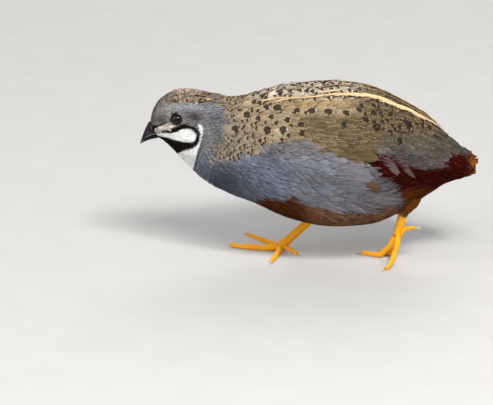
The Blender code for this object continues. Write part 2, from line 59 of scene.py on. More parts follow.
# The bill's section where the plumage ends: how far its middle is off the rings' own, and its
# half height and half width
BILL_SECTION = (-0.37, 3.3, 2.6)

# How much fuller the feathers stand than the solids, under the bird and over it, by place
UNDER_AT = (
    (-44.0, 0.0), (-40.0, 1.15), (-36.5, 1.6), (-32.0, 1.2), (-26.8, 0.95), (-22.0, 0.25), (-18.0, 0.0),
    (36.0, 0.0), (44.0, -1.2), (50.0, -2.1), (54.0, -1.8), (58.0, -0.8),
)
OVER_AT = ((46.0, 0.0), (52.0, -1.2), (58.0, -0.8))

# How deep the skin lies under the outline, and how far apart feathers grow, by place
DEPTH_AT = ((-60.0, 0.3), (-52.0, 0.5), (-40.0, 0.8), (-26.0, 1.5), (46.0, 1.7), (58.0, 1.1))
SPACING_AT = (
    (-60.0, 0.42), (-56.0, 0.5), (-50.0, 0.66), (-43.0, 0.82), (-36.0, 1.05), (-28.0, 1.5),
    (-18.0, 1.95), (0.0, 2.3), (40.0, 2.3), (58.0, 1.7),
)

# Eye
EYE_ALONG, EYE_UP = -48.3, 56.1
EYE_RADIUS = 2.6
EYE_OPENING = 1.42
PUPIL_RADIUS = 1.0
LID_RADIUS = 0.15
SOCKET_RADIUS, SOCKET_DEPTH = 1.4, 1.3
CORNEA_RADIUS, CORNEA_RISE = 1.5, 0.12

# Bill: curves in the plane of symmetry, each as start, pull and end
CULMEN = ((-58.9, 53.2), (-60.9, 49.9), (-62.3, 44.4))
MOUTH_LINE = ((-56.75, 48.45), (-59.9, 48.2), (-62.05, 44.8))
GONYS = ((-56.2, 47.3), (-59.4, 46.7), (-61.5, 45.2))
BILL_HALF_WIDTH = 2.35
MOUTH_GAP = 0.16
NOSTRIL = (-59.4, 50.7)

# Legs. Each foot has its ball, its heel and the top of its thigh, and its toes' points past the ball,
# which are lifted until the toe rests on the floor.
SHANK_RADIUS = 1.6
BALL_RADIUS = 1.95
THIGH_RADII = (1.9, 2.5, 3.1, 3.7, 4.3, 4.8)
TOE_RADIUS = {"inner": 1.15, "middle": 1.3, "outer": 1.1, "hind": 0.9}
TOE_TAPER = 0.5
SHANK_SCUTE, TOE_SCUTE, SCUTE_ANGLE = 1.25, 0.95, 0.95
SCUTE_RISE = 0.11
FEET = {
    RIGHT: {
        "ball": (-10.0, 9.0, 1.85),
        "heel": (0.5, 9.0, 11.8),
        "thigh": (8.5, 9.2, 19.5),
        "toes": {
            "middle": ((-12.0, 9.2, 1.6), (-17.6, 10.0, 0), (-23.4, 11.3, 0), (-28.6, 13.0, 1.1)),
            "inner": ((-10.4, 7.0, 1.6), (-11.6, 2.6, 0), (-12.8, -1.6, 0), (-13.7, -4.8, 0)),
            "outer": ((-11.4, 10.6, 1.8), (-14.9, 13.8, 1.9), (-18.6, 16.8, 2.4), (-22.4, 19.2, 3.1)),
            "hind": ((-8.4, 7.8, 1.9), (-6.0, 5.9, 1.3), (-3.8, 4.3, 0)),
        },
    },
    LEFT: {
        "ball": (33.4, -3.2, 11.1),
        "heel": (34.9, -5.2, 19.6),
        "thigh": (37.5, -6.0, 26.5),
        "toes": {
            "middle": ((32.4, -2.6, 9.2), (29.6, -0.6, 4.2), (25.4, 2.2, 0), (20.4, 4.6, 0)),
            "inner": ((32.8, -1.8, 9.6), (31.4, 1.2, 4.8), (30.0, 3.9, 0), (27.6, 6.9, 0)),
            "outer": ((33.3, -4.4, 9.6), (32.4, -7.2, 6.0), (30.5, -10.6, 1.9), (28.3, -13.4, 0)),
            "hind": ((35.0, -3.4, 12.2), (37.4, -3.6, 13.3), (39.9, -3.8, 13.4)),
        },
    },
}

# Markings, as outlines in the side view: along the bird, and up the view of the photograph
CHEEK = (
    (-58.7, 45.6), (-55.8, 46.2), (-53.2, 46.4), (-50.6, 46.2), (-48.3, 46.7), (-46.5, 47.7),
    (-43.9, 47.8), (-42.0, 46.7), (-41.3, 45.3), (-41.7, 43.8), (-43.1, 42.9), (-46.1, 43.0),
    (-49.5, 43.8), (-52.1, 44.7), (-55.0, 45.3),
)
WHISKER = (
    (-58.4, 46.6), (-55.6, 48.3), (-53.2, 49.2), (-50.6, 49.9), (-46.9, 50.4), (-48.9, 48.9),
    (-51.3, 47.9), (-53.9, 47.3), (-56.1, 46.7),
)
LORE = (
    (-59.8, 48.4), (-57.6, 48.9), (-55.0, 49.6), (-52.8, 50.3), (-51.3, 50.3), (-53.2, 49.2),
    (-55.8, 48.4), (-57.4, 47.2), (-59.1, 46.6),
)
BIB = (
    (-60.5, 45.6), (-56.1, 46.6), (-53.2, 47.2), (-50.6, 47.6), (-49.1, 48.5), (-47.2, 49.5),
    (-45.4, 49.6), (-43.9, 49.0), (-42.0, 48.5), (-40.6, 47.5), (-39.8, 45.6), (-40.2, 43.6),
    (-40.9, 41.9), (-43.1, 41.0), (-45.4, 40.3), (-47.6, 38.9), (-49.1, 37.5), (-52.1, 39.7),
    (-55.0, 42.3), (-60.5, 43.8),
)
CRESCENT = (
    (-40.6, 49.7), (-39.1, 48.8), (-38.9, 47.1), (-39.1, 45.3), (-39.6, 43.4), (-40.4, 40.8),
    (-41.3, 38.2), (-42.0, 35.6), (-42.6, 33.2), (-43.9, 31.5), (-46.5, 33.8), (-49.8, 37.5),
    (-48.5, 38.8), (-46.5, 39.6), (-44.3, 40.1), (-42.0, 41.0), (-40.6, 42.3), (-39.9, 44.1),
    (-39.7, 46.4), (-40.3, 48.2),
)
UPPERPARTS = (
    (-59.5, 53.6), (-55.8, 55.0), (-53.2, 55.7), (-51.3, 57.0), (-47.6, 57.3), (-43.9, 57.5),
    (-40.2, 57.1), (-34.0, 57.6), (-30.9, 55.5), (-30.9, 51.6), (-31.6, 46.0), (-35.0, 40.4),
    (-35.0, 36.7), (-29.8, 36.0), (-23.5, 37.5), (-17.2, 40.1), (-12.4, 42.9), (-3.1, 44.3),
    (1.4, 42.7), (6.2, 39.3), (13.6, 36.4), (18.4, 34.1), (23.3, 33.8), (24.4, 37.5),
    (25.1, 40.4), (34.0, 41.6), (41.4, 39.7), (48.9, 36.7), (52.6, 38.6), (58.1, 40.4),
    (70.0, 40.4), (70.0, 90.0), (-59.5, 90.0),
)
CHESTNUT = (
    (25.1, 38.6), (28.1, 38.2), (32.2, 36.7), (34.8, 34.9), (39.6, 33.0), (45.2, 32.6),
    (50.7, 33.8), (51.5, 37.8), (57.0, 37.5), (70.0, 37.5), (70.0, 20.0), (39.6, 12.0),
    (32.2, 27.1), (29.6, 28.9), (25.9, 30.4), (24.7, 33.8),
)
BELLY_LINE = (
    (-26.0, 19.8), (-21.6, 20.8), (-16.1, 22.6), (-8.6, 21.9), (-6.0, 23.4), (-3.1, 20.8),
    (0.6, 19.3), (8.1, 18.9), (13.6, 17.4), (21.0, 17.1), (24.9, 19.5), (33.3, 18.2), (40.0, 23.0),
)
STRIPE = (
    (-20.0, 57.8), (-10.5, 59.4), (-3.1, 59.2), (4.3, 59.6), (11.8, 60.9), (17.0, 60.8), (22.1, 60.1),
    (27.3, 58.7), (31.1, 57.5), (34.3, 55.6), (38.0, 53.4), (43.3, 51.3), (48.1, 49.5),
)
# Three bright shafts over the line: root, tip and width
SHORT_STREAKS = (
    (-21.0, 57.8, -12.5, 58.5, 1.6), (-13.0, 57.9, -6.5, 58.6, 1.6), (3.5, 61.4, 13.5, 61.9, 2.0),
)
# The part of the side covered by the folded wing
WING_AREA = (
    (-14.0, 54.0), (14.0, 53.6), (33.0, 50.0), (35.0, 45.0), (24.0, 34.0), (18.4, 34.1),
    (13.6, 36.4), (6.2, 39.3), (1.4, 42.7), (-3.1, 44.3), (-12.4, 42.9),
)
# The rows of the wing's coverts: their step to the rear, the feathers' length and width and the gap
# from one to the next, and the rows' lower edge
COVERT_STEP, COVERT_LENGTH, COVERT_WIDTH, COVERT_GAP = 2.7, 6.2, 3.1, 1.55
WING_EDGE = (
    (-14.0, 44.6), (-9.0, 44.4), (-3.1, 44.8), (1.4, 43.2), (6.2, 39.9), (13.6, 37.0), (18.4, 34.8),
    (23.3, 34.6), (26.0, 39.5), (35.0, 42.4),
)
# Feathers with a large black blotch: where, and how large
BLOTCHED = (
    (-15.7, 55.3, 1.0), (-11.1, 55.2, 1.7), (-4.6, 54.0, 0.9), (1.0, 53.9, 1.5), (7.3, 53.4, 1.6),
    (13.4, 53.2, 1.3), (-22.8, 52.4, 1.2), (-18.9, 51.6, 0.7), (-14.2, 51.6, 0.8), (-7.9, 50.6, 1.1),
    (-3.1, 48.8, 1.1), (-26.8, 47.6, 1.3), (-15.0, 47.3, 1.4), (-9.2, 47.2, 1.4), (-2.9, 46.6, 1.2),
    (-10.2, 61.6, 1.5), (-16.8, 60.1, 1.0), (-20.4, 57.4, 0.8), (-18.4, 57.0, 0.8), (-7.0, 61.6, 0.9),
    (20.5, 50.4, 1.2), (24.6, 48.6, 1.4), (18.0, 54.5, 1.0), (35.5, 50.2, 1.7), (29.0, 46.2, 0.9),
    (12.0, 49.0, 0.7), (32.5, 43.6, 0.8), (23.2, 53.6, 1.0),
)

# Colours of the plumage, as the share of red, green and blue light that it reflects
SLATE = (0.240, 0.250, 0.285)
SLATE_BLUE = (0.222, 0.256, 0.340)
# Painted shade for the low front of the breast
SLATE_PAINTED_SHADE = (0.072, 0.078, 0.096)
SLATE_PALE = (0.34, 0.35, 0.385)
FACE_GREY = (0.285, 0.265, 0.260)
NECK_GREY = (0.165, 0.166, 0.176)
BUFF = (0.355, 0.268, 0.174)
BUFF_PALE = (0.50, 0.405, 0.285)
GOLD = (0.36, 0.235, 0.095)
OLIVE = (0.180, 0.128, 0.072)
DUSK = (0.100, 0.070, 0.036)
BLACK = (0.004, 0.004, 0.004)
WHITE = (0.96, 0.96, 0.95)
CHESTNUT_RED = (0.046, 0.002, 0.0015)
TAIL_RED = (0.044, 0.002, 0.0015)
RUFOUS = (0.072, 0.017, 0.005)
BELLY_BROWN = (0.285, 0.122, 0.050)
ORANGE_BROWN = (0.195, 0.050, 0.004)
CROWN_BROWN = (0.50, 0.375, 0.27)
EAR_BROWN = (0.062, 0.047, 0.038)
EYE_SHADE = (0.045, 0.040, 0.038)
FLANK_GREY = (0.175, 0.165, 0.180)
SHOULDER_GREY = (0.190, 0.180, 0.185)
SHAWL, SHAWL_PALE = (0.28, 0.24, 0.185), (0.42, 0.36, 0.28)
WING_BROWN, WING_SHADE = (0.205, 0.148, 0.083), (0.115, 0.083, 0.045)
RIDGE, RIDGE_PALE = (0.50, 0.42, 0.32), (0.78, 0.68, 0.54)
REAR_BROWN, REAR_PALE = (0.150, 0.106, 0.056), (0.33, 0.26, 0.16)
WING_EDGE_BROWN = (0.120, 0.080, 0.040)
RUMP_GREY, RUMP_DARK = (0.100, 0.090, 0.070), (0.080, 0.070, 0.056)
VENT_GREY = (0.098, 0.082, 0.078)
FOREHEAD, BILL_BASE_GREY = (0.31, 0.25, 0.21), (0.24, 0.24, 0.25)
CROWN_PALE, FLECK = (0.84, 0.66, 0.51), (0.022, 0.015, 0.010)
TAWNY, TAWNY_PALE, TAWNY_DARK = (0.42, 0.26, 0.16), (0.50, 0.34, 0.24), (0.050, 0.026, 0.014)
BELLY_RED, VENT_RED = (0.14, 0.040, 0.012), (0.145, 0.040, 0.004)
TAIL_TIP, TAIL_TIP_DARK = (0.26, 0.085, 0.014), (0.11, 0.034, 0.006)
WHISKER_CREAM = (0.74, 0.68, 0.57)
SCAPULAR_DARK = (0.060, 0.042, 0.022)

# The tail's rows: feathers on a side, their first and last turn from the back, where they start and
# end, their width, and how far root and tip lie over the outline
TAIL_ROWS = (
    (9, (8, 118), 46.0, 63.6, 4.4, (-1.2, -0.6)),
    (8, (12, 112), 46.0, 62.0, 4.2, (-0.9, -0.25)),
    (5, (130, 172), 45.0, 61.0, 3.8, (-0.9, -0.2)),
)

# The flanks' longest feathers: place of root and tip in the side view, width and colour
PLUMES = (
    (17.0, 30.6, 26.0, 25.0, 3.8, (0.130, 0.066, 0.032)),
    (9.0, 34.6, 23.0, 32.0, 5.0, (0.180, 0.180, 0.20)),
    (9.0, 31.5, 23.6, 29.8, 5.0, (0.17, 0.165, 0.185)),
    (8.0, 27.5, 22.0, 25.9, 5.0, (0.17, 0.165, 0.185)),
    (25.6, 40.2, 32.8, 31.4, 4.4, (0.112, 0.086, 0.086)),
    (31.6, 37.8, 37.8, 29.0, 3.0, (0.110, 0.074, 0.064)),
    (16.0, 24.6, 34.6, 20.4, 4.8, (0.165, 0.160, 0.178)),
    (11.8, 22.3, 28.6, 17.4, 3.4, (0.14, 0.13, 0.14)),
    (3.6, 20.8, 14.5, 17.6, 2.8, (0.25, 0.25, 0.285)),
    (11.8, 20.6, 21.6, 17.2, 2.6, (0.23, 0.23, 0.26)),
)


def smooth_step(low, high, value):
    """0 at low, 1 at high, and a soft rise between them. low may be the larger of the two."""
    t = np.clip((value - low) / (high - low), 0.0, 1.0)
    return t * t * (3 - 2 * t)


def mixed(a, b, share):
    """Colours or vectors drawn from a to b by shares that may differ from point to point."""
    share = np.asarray(share)[..., None]
    return np.asarray(a) * (1 - share) + np.asarray(b) * share


def unit(vectors):
    """The vectors at length 1."""
    return vectors / np.maximum(np.linalg.norm(vectors, axis=-1, keepdims=True), 1e-9)


def circle(count, start=0.0):
    """So many angles evenly round a full turn."""
    return np.linspace(start, start + 2 * math.pi, count, endpoint=False)


def from_table(table, places):
    """Values at places along the bird, from rows of place and value."""
    return np.interp(places, [row[0] for row in table], [row[1] for row in table])


def blurred(grid, rings, spokes):
    """A grid over the plumage softened by so many rings and spokes."""
    for axis, spread in ((0, rings), (1, spokes)):
        if not spread:
            continue
        reach = int(3 * spread)
        weights = [math.exp(-0.5 * (k / spread) ** 2) for k in range(-reach, reach + 1)]
        margins = [(reach, reach) if k == axis else (0, 0) for k in range(grid.ndim)]
        padded = np.pad(grid, margins, "wrap" if axis else "edge")
        size = grid.shape[axis]
        grid = sum(
            weight * np.take(padded, range(k, k + size), axis) for k, weight in enumerate(weights)
        ) / sum(weights)
    return grid


def typical(grid, reach):
    """The middle value of each ring and its neighbours on either side."""
    rows = np.concatenate([grid[:1]] * reach + [grid] + [grid[-1:]] * reach)
    return np.nanmedian([rows[k : k + len(grid)] for k in range(2 * reach + 1)], axis=0)


def mottle(points, size, seed):
    """Chance values from 0 to 1 that change smoothly through space over patches of this size."""
    cells = points / np.array(size) + seed * 17.3
    whole = np.floor(cells).astype(np.int64)
    part = cells - whole
    part = part * part * (3 - 2 * part)
    found = 0.0
    for corner in np.ndindex(2, 2, 2):
        i, j, k = np.moveaxis(whole + np.array(corner), -1, 0)
        code = (i * 73856093) ^ (j * 19349663) ^ (k * 83492791)
        code = (code ^ (code >> 13)) * 1274126177 & 0xFFFFFFF
        share = np.prod(np.where(corner, part, 1 - part), -1)
        found = found + share * (code >> 8 & 0xFFFF) / 65535
    return found


class Plumage:
    """The outline of the plumage: distances from a line inside the bird, by place and turn.

    A turn is an angle from the back, towards the right side where it is positive.
    """

    def __init__(self, nodes):
        tree = tree_of(nodes)
        self.places = np.linspace(FIRST, LAST, RINGS)
        self.turns = circle(SPOKES, -math.pi)
        self.heights = self.axis_heights(tree)
        reach = np.array(
            [[self.reach_at(tree, i, turn) for turn in self.turns] for i in range(RINGS)]
        )
        reach[0] = 2 * reach[1] - reach[2]
        body = smooth_step(-36, -24, self.places)[:, None]
        head, trunk = blurred(typical(reach, 1), 0.7, 0.8), blurred(typical(reach, 2), 3.0, 2.2)
        reach = head * (1 - body) + trunk * body
        high = np.cos(self.turns)
        for table, low, full in ((UNDER_AT, 0.1, -0.6), (OVER_AT, -0.1, 0.6)):
            reach = reach + from_table(table, self.places)[:, None] * smooth_step(low, full, high)
        ahead = np.clip(1 - (self.places - FIRST) / 2.4, 0, 1)[:, None]
        self.reach = reach + (self.bill_reach() - reach) * (1 - np.sqrt(1 - ahead**2))
        points = self.grid_points()
        run = np.gradient(points, axis=0)
        around = np.roll(points, -1, 1) - np.roll(points, 1, 1)
        self.normals = blurred(unit(np.cross(run, around)), 1.0, 1.0)

    def axis_heights(self, tree):
        """The height of the line inside the bird, half way between its back and its underside."""
        found = []
        for x in self.places:
            spots = [
                tree.ray_cast(Vector((x, 0.05, z)) * MM, Vector((0, 0, way)))[0]
                for z, way in ((200, -1), (-100, 1))
            ]
            found.append(math.nan if None in spots else sum(spot.z for spot in spots) / 2 / MM)
        known = ~np.isnan(found)
        heights = np.interp(self.places, self.places[known], np.array(found)[known])
        rear = float(np.interp(FACE_REAR, self.places, heights))
        share = (self.places - FIRST) / (FACE_REAR - FIRST)
        face = FACE_HEIGHT + (rear - FACE_HEIGHT) * share
        return blurred(np.where(share < 1, face, heights)[:, None], 5, 0)[:, 0]

    def bill_reach(self):
        """How far the bill's own surface is from the first ring's middle."""
        offset, height, width = BILL_SECTION
        up, aside = np.cos(self.turns), np.sin(self.turns)
        square = (up / height) ** 2 + (aside / width) ** 2
        linear = offset * up / height**2
        return (linear + np.sqrt(linear**2 - square * ((offset / height) ** 2 - 1))) / square

    def frame_at(self, along):
        """Points of the line inside the bird, and the upward way of the ring there."""
        past = np.maximum(along - LAST, 0)
        drop = (self.heights[-1] - self.heights[-11]) / (self.places[-1] - self.places[-11])
        lean = math.radians(FACE_LEAN) * smooth_step(FACE_REAR, FIRST, along)
        height = np.interp(along, self.places, self.heights) + past * drop
        middle = np.stack([along, 0 * along, height], -1)
        return middle, np.stack([-np.sin(lean), 0 * lean, np.cos(lean)], -1)

    def reach_at(self, tree, ring, turn, outside=60.0):
        """How far out the solids reach, met by a ray from outside."""
        middle, up = self.frame_at(self.places[ring])
        out = Vector(up * math.cos(turn) + (0, math.sin(turn), 0))
        start = Vector(middle) + out * outside
        hit = tree.ray_cast(start * MM, -out)
        return math.nan if hit[0] is None else outside - hit[3] / MM

    def grid_points(self):
        middle, up = self.frame_at(np.repeat(self.places[:, None], SPOKES, 1))
        points = middle + up * (self.reach * np.cos(self.turns))[..., None]
        points[..., 1] += self.reach * np.sin(self.turns)
        return points

    def sample(self, grid, along, turn):
        """Values of a grid between its points."""
        i = np.clip((along - FIRST) / (LAST - FIRST) * (RINGS - 1), 0, RINGS - 1.001)
        j = (turn + math.pi) / (2 * math.pi) * SPOKES % SPOKES
        i0, j0 = i.astype(int), j.astype(int) % SPOKES
        di, dj = i - i0, j - np.floor(j)
        j1 = (j0 + 1) % SPOKES
        if grid.ndim == 3:
            di, dj = di[..., None], dj[..., None]
        near = grid[i0, j0] * (1 - dj) + grid[i0, j1] * dj
        far = grid[i0 + 1, j0] * (1 - dj) + grid[i0 + 1, j1] * dj
        return near * (1 - di) + far * di

    def at(self, along, turn):
        """Points of the outline and its normals there. Past the tail the outline runs straight on."""
        reach = self.sample(self.reach, along, turn)
        past = np.maximum(along - LAST, 0)
        fall = (self.sample(self.reach, LAST + 0 * along, turn)
                - self.sample(self.reach, LAST - 6 + 0 * along, turn)) / 6
        reach = np.maximum(reach + past * fall, 0.6)
        middle, up = self.frame_at(along)
        points = middle + up * (reach * np.cos(turn))[..., None]
        points[..., 1] += reach * np.sin(turn)
        return points, unit(self.sample(self.normals, along, turn))

    def locate(self, points):
        """The place and turn on the outline under points."""
        along = points[..., 0].copy()
        for _ in range(6):
            middle, up = self.frame_at(along)
            away = points - middle
            along = along + away[..., 0] * up[..., 2] - away[..., 2] * up[..., 0]
        middle, up = self.frame_at(along)
        return along, np.arctan2(points[..., 1], ((points - middle) * up).sum(-1))

    def turn_at(self, along, height):
        """The turn at which the outline has a height in the photograph's view, on the right side."""
        turns = np.radians(np.linspace(4, 150, 147))
        found = []
        for x, q in zip(along, height):
            levels = view_height(self.at(np.full(147, x), turns)[0])
            found.append(np.interp(-q, -levels, turns))
        return np.array(found)

    def unwrapped(self, along, turn):
        """Places on an unwrap of the skin, from 0 to 1."""
        u = (along - FIRST) / (LAST - FIRST) * 0.94 + 0.03
        return np.stack([u, turn / (2 * math.pi) * 0.94 + 0.5], -1)


class Thigh:
    """The outline of a feathered thigh, a cone from the heel up into the flank."""

    def __init__(self, foot):
        self.low, self.high = (np.array(foot[key], float) for key in ("heel", "thigh"))
        self.length = np.linalg.norm(self.high - self.low)
        self.axis = (self.high - self.low) / self.length
        self.side = unit(np.cross(self.axis, (1.0, 0.0, 0.0)))
        self.front = np.cross(self.side, self.axis)

    def at(self, along, turn):
        share = np.clip(along, 0, 1)
        radius = np.interp(share, np.linspace(0, 1, len(THIGH_RADII)), THIGH_RADII)
        out = np.cos(turn)[..., None] * self.front + np.sin(turn)[..., None] * self.side
        middle = self.low + self.axis * (along * self.length)[..., None]
        return middle + out * radius[..., None], unit(out - self.axis * 0.25)

    def locate(self, points):
        away = points - self.low
        along = away @ self.axis / self.length
        return along, np.arctan2(away @ self.side, away @ self.front)

    def unwrapped(self, along, turn):
        return np.stack([0.05 + along * 0.1, turn / (2 * math.pi) * 0.2 + 0.5], -1)


def tree_of(nodes):
    """The named solids' faces as one tree that rays can be cast at."""
    points, faces = [], []
    for name in nodes:
        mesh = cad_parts[name].data
        start = len(points)
        points += [vertex.co.copy() for vertex in mesh.vertices]
        faces += [[start + i for i in polygon.vertices] for polygon in mesh.polygons]
    return BVHTree.FromPolygons(points, faces)


# Markings


def inside(outline, x, q):
    """How far points of the side view lie inside an outline, and below zero how far outside."""
    corners = np.array(outline, float)
    crossings = np.zeros(x.shape, bool)
    nearest = np.full(x.shape, 1e9)
    for (x0, q0), (x1, q1) in zip(corners, np.roll(corners, -1, 0)):
        crosses = (q0 > q) != (q1 > q)
        slope = (x1 - x0) / (q1 - q0 if q1 != q0 else 1e-9)
        crossings ^= crosses & (x < x0 + (q - q0) * slope)
        length = (x1 - x0) ** 2 + (q1 - q0) ** 2
        t = np.clip(((x - x0) * (x1 - x0) + (q - q0) * (q1 - q0)) / length, 0, 1)
        away = np.hypot(x - x0 - t * (x1 - x0), q - q0 - t * (q1 - q0))
        nearest = np.minimum(nearest, away)
    return np.where(crossings, nearest, -nearest)


def spot(x, q, centre, reach):
    """A soft round patch in the side view, from 1 at its centre to 0."""
    return np.exp(-(((x - centre[0]) / reach[0]) ** 2) - ((q - centre[1]) / reach[1]) ** 2)


def view_height(points):
    """How high points stand in the photograph's view, with both sides of the bird alike."""
    tilt = math.radians(VIEW_DEGREES)
    return points[..., 2] * math.cos(tilt) - np.abs(points[..., 1]) * math.sin(tilt)


def markings(points, edge=0.5):
    """The plumage's markings at points, and painted shade low on the breast, as colours and the strength
    of each feather pattern.

    edge is half the width of the change from one marking to the next. Each layer of paint covers
    the ones before it where its mask is 1.
    """
    x, y = points[..., 0], points[..., 1]
    q = view_height(points)
    patches = mottle(points, (3.2, 2.6, 2.6), 1)
    flecks = mottle(points, (1.1, 0.75, 0.75), 2)
    fine = mottle(points, (0.62, 0.36, 0.38), 3)
    grit = mottle(points, (0.44, 0.27, 0.27), 4)
    ground = np.broadcast_to(np.array(SLATE), x.shape + (3,)).copy()
    edging = ground * 1.15
    pattern = {key: np.zeros(x.shape) for key in ("blotch", "streak", "bars", "fringe")}
    pattern["blotch"] -= 0.3
    pattern["fringe"] += 0.2

    def paint(mask, colour, rim=None, **strengths):
        nonlocal ground, edging
        ground = mixed(ground, colour, mask)
        edging = mixed(edging, np.array(colour) * 1.2 if rim is None else rim, mask)
        for key, old in pattern.items():
            pattern[key] = old + (strengths.get(key, -0.3 * (key == "blotch")) - old) * mask

    # Slate front and flanks, bluer along the side, and painted shade low on the breast
    paint(smooth_step(-2, -12, x) * smooth_step(42, 33, q), SLATE_BLUE, fringe=0.2)
    paint(smooth_step(8, 26, x), FLANK_GREY, fringe=0.25)
    paint(smooth_step(-22, -12, x) * smooth_step(34, 41, q), SHOULDER_GREY, fringe=0.2)
    # Painted shade: a darker slate spot low on the front of the breast
    paint(spot(x, q, (-31.0, 29.0), (13.0, 9.0)) * 0.9, SLATE_PAINTED_SHADE, SLATE, fringe=0.3)
    paint(smooth_step(-26, -34, x) * smooth_step(34, 41, q), NECK_GREY, fringe=0.15)
    paint(smooth_step(-44, -49, x), FACE_GREY, fringe=0.15)
    paint(spot(x, q, (-41.5, 56.0), (7.5, 1.5)) * 0.85, SLATE_PALE, fringe=0.2)
    paint(spot(x, q, (-50.5, 55.8), (4.2, 1.1)) * 0.75, SLATE_PALE, fringe=0.2)
    paint(spot(x, q, (-41.9, 52.2), (2.6, 1.6)) * 0.95, EAR_BROWN, fringe=0.1)
    paint(spot(x, q, (-54.8, 51.2), (3.2, 1.7)) * 0.75, EYE_SHADE, fringe=0.1)

    # Brown upperparts
    rough = 5.0 * smooth_step(-12, -26, x) * smooth_step(57, 53, q) + 1.0
    ragged = rough * (0.5 * patches + 0.7 * fine - 0.6)
    upper = smooth_step(-edge, edge, inside(UPPERPARTS, x, q) + ragged)
    tint = mixed((0.72,) * 3, (1.20,) * 3, flecks)
    crown = upper * smooth_step(-32, -36, x) * smooth_step(50, 53, q)
    mantle = upper * np.maximum(smooth_step(-36, -32, x), smooth_step(53, 50, q))
    paint(mantle, BUFF * tint, BUFF_PALE, blotch=0.46, streak=0.08, bars=0.50, fringe=0.4)
    shawl = mantle * smooth_step(-18, -28, x) * smooth_step(57, 50, q)
    paint(shawl * 0.8, SHAWL, SHAWL_PALE, blotch=0.52, bars=0.3, fringe=0.35)
    wing = mantle * smooth_step(-9, 0, x) * smooth_step(54.0, 51.5, q)
    brown = mixed(WING_BROWN, WING_SHADE, 0.5 * patches + 0.5 * smooth_step(6, 22, x)) * tint
    paint(wing, brown, BUFF, streak=0.08, bars=0.8, fringe=0.35)
    top = mantle * smooth_step(57.5, 60.0, q) * smooth_step(-26, -16, x)
    paint(top, RIDGE, RIDGE_PALE, blotch=0.62, streak=0.12, bars=0.35, fringe=0.6)
    gold = mantle * spot(x, q, (1.5, 57.0), (13.0, 1.5))
    paint(gold, GOLD, BUFF_PALE, bars=0.2, streak=0.05, fringe=0.2)
    rear = mantle * smooth_step(12, 26, x) * smooth_step(44, 49, q)
    paint(rear, REAR_BROWN, REAR_PALE, blotch=0.46, streak=0.08, bars=1.0, fringe=0.4)
    low = mantle * smooth_step(6, 14, x) * smooth_step(43, 40, q)
    paint(low * 0.8, WING_EDGE_BROWN, OLIVE, bars=0.3, fringe=0.25)
    grey = mantle * smooth_step(24, 29, x) * smooth_step(48, 43, q)
    paint(grey * 0.8, RUMP_GREY, SLATE, bars=0.7, fringe=0.25)
    rump = mantle * smooth_step(44, 50, x)
    paint(rump * 0.7, RUMP_DARK, SLATE, bars=0.5, fringe=0.25)
    band = (1 - upper) * smooth_step(22, 30, x) * smooth_step(31, 34, q)
    paint(band * 0.9, VENT_GREY, SLATE, bars=0.4, fringe=0.4)
    paint(crown, CROWN_BROWN, BUFF_PALE, blotch=0.5, bars=0.1, fringe=0.2)
    paint(crown * smooth_step(-47, -53, x), FOREHEAD, SLATE_PALE, blotch=0.4, fringe=0.2)
    paint(crown * smooth_step(-53, -57, x), BILL_BASE_GREY, SLATE_PALE, fringe=0.2)
    paint(crown * smooth_step(61.0, 62.8, q), CROWN_PALE, fringe=0.1)
    dense = 0.57 - 0.10 * smooth_step(62.5, 60.5, q) * smooth_step(-49, -44, x) + 0.2 * (patches - 0.5)
    paint(crown * smooth_step(dense, dense + 0.08, grit) * 0.95, FLECK)

    # Belly, rear flank, vent and tail
    below = from_table(BELLY_LINE, x) - q
    belly = smooth_step(-0.6, 0.9, below + (patches - 0.5)) * smooth_step(-27, -21, x)
    tawny = mixed(BELLY_BROWN, TAWNY, smooth_step(0.45, 0.75, flecks))
    tawny = mixed(tawny, TAWNY_DARK, smooth_step(0.55, 0.75, fine) * 0.8)
    paint(belly, tawny, TAWNY_PALE, bars=0.5, fringe=0.5)
    rusty = mixed(RUFOUS, BELLY_RED, flecks)
    paint(belly * smooth_step(4, -4, x), rusty, ORANGE_BROWN, bars=0.3, fringe=0.4)
    rear_flank = smooth_step(-edge, edge, inside(CHESTNUT, x, q) + 0.8 * (patches - 0.5))
    paint(rear_flank, CHESTNUT_RED, RUFOUS, fringe=0.15)
    vent = smooth_step(32, 36, x) * smooth_step(26.5, 23.5, q) * smooth_step(58, 52, x)
    paint(vent * 0.9, VENT_RED, RUFOUS, fringe=0.4)
    paint(smooth_step(51.5, 54.0, x) * smooth_step(40, 38, q), TAIL_RED, RUFOUS, fringe=0.2)
    ends = smooth_step(58.9, 60.4, x + 1.6 * (flecks - 0.5))
    tipped = mixed(TAIL_TIP, TAIL_TIP_DARK, smooth_step(0.45, 0.7, fine))
    paint(ends, tipped, RUFOUS, bars=0.2, fringe=0.4)

    # Black and white face and throat
    crisp = min(edge, 0.2)
    black = np.maximum(inside(BIB, x, q), inside(LORE, x, q) + 0.7 * (flecks - 0.4))
    crescent = inside(CRESCENT, x, q)
    rear_edge = (crescent < 0) & (x > -44.5) & (q < 45.5)
    lace = np.where(rear_edge, crescent + 0.45 + 1.0 * (fine - 0.3), -9.0)
    paint(smooth_step(-crisp, crisp, np.maximum(black, lace)), BLACK)
    whisker = inside(WHISKER, x, q) + 3.2 * (0.35 * flecks + 0.65 * fine - 0.46)
    paint(smooth_step(-crisp, crisp, whisker), WHISKER_CREAM, WHITE, fringe=0.2)
    white = np.maximum(inside(CHEEK, x, q), crescent)
    paint(smooth_step(-crisp, crisp, white), WHITE, fringe=0.2)

    # Chance light and shade, less on the white
    coarse = 0.40 + 0.45 * smooth_step(-24, -34, x)
    pure = 1 - 0.75 * smooth_step(-crisp, crisp, white)
    shade = (0.84 + 0.32 * patches) * (1 + coarse * (fine - 0.5))
    shade = shade * (1 + 0.6 * (coarse - 0.4) * (grit - 0.5))
    shade = 1 + (shade - 1) * pure
    return {"ground": np.clip(ground * shade[..., None], 0, 0.97), "edging": edging, **pattern}


# Feathers


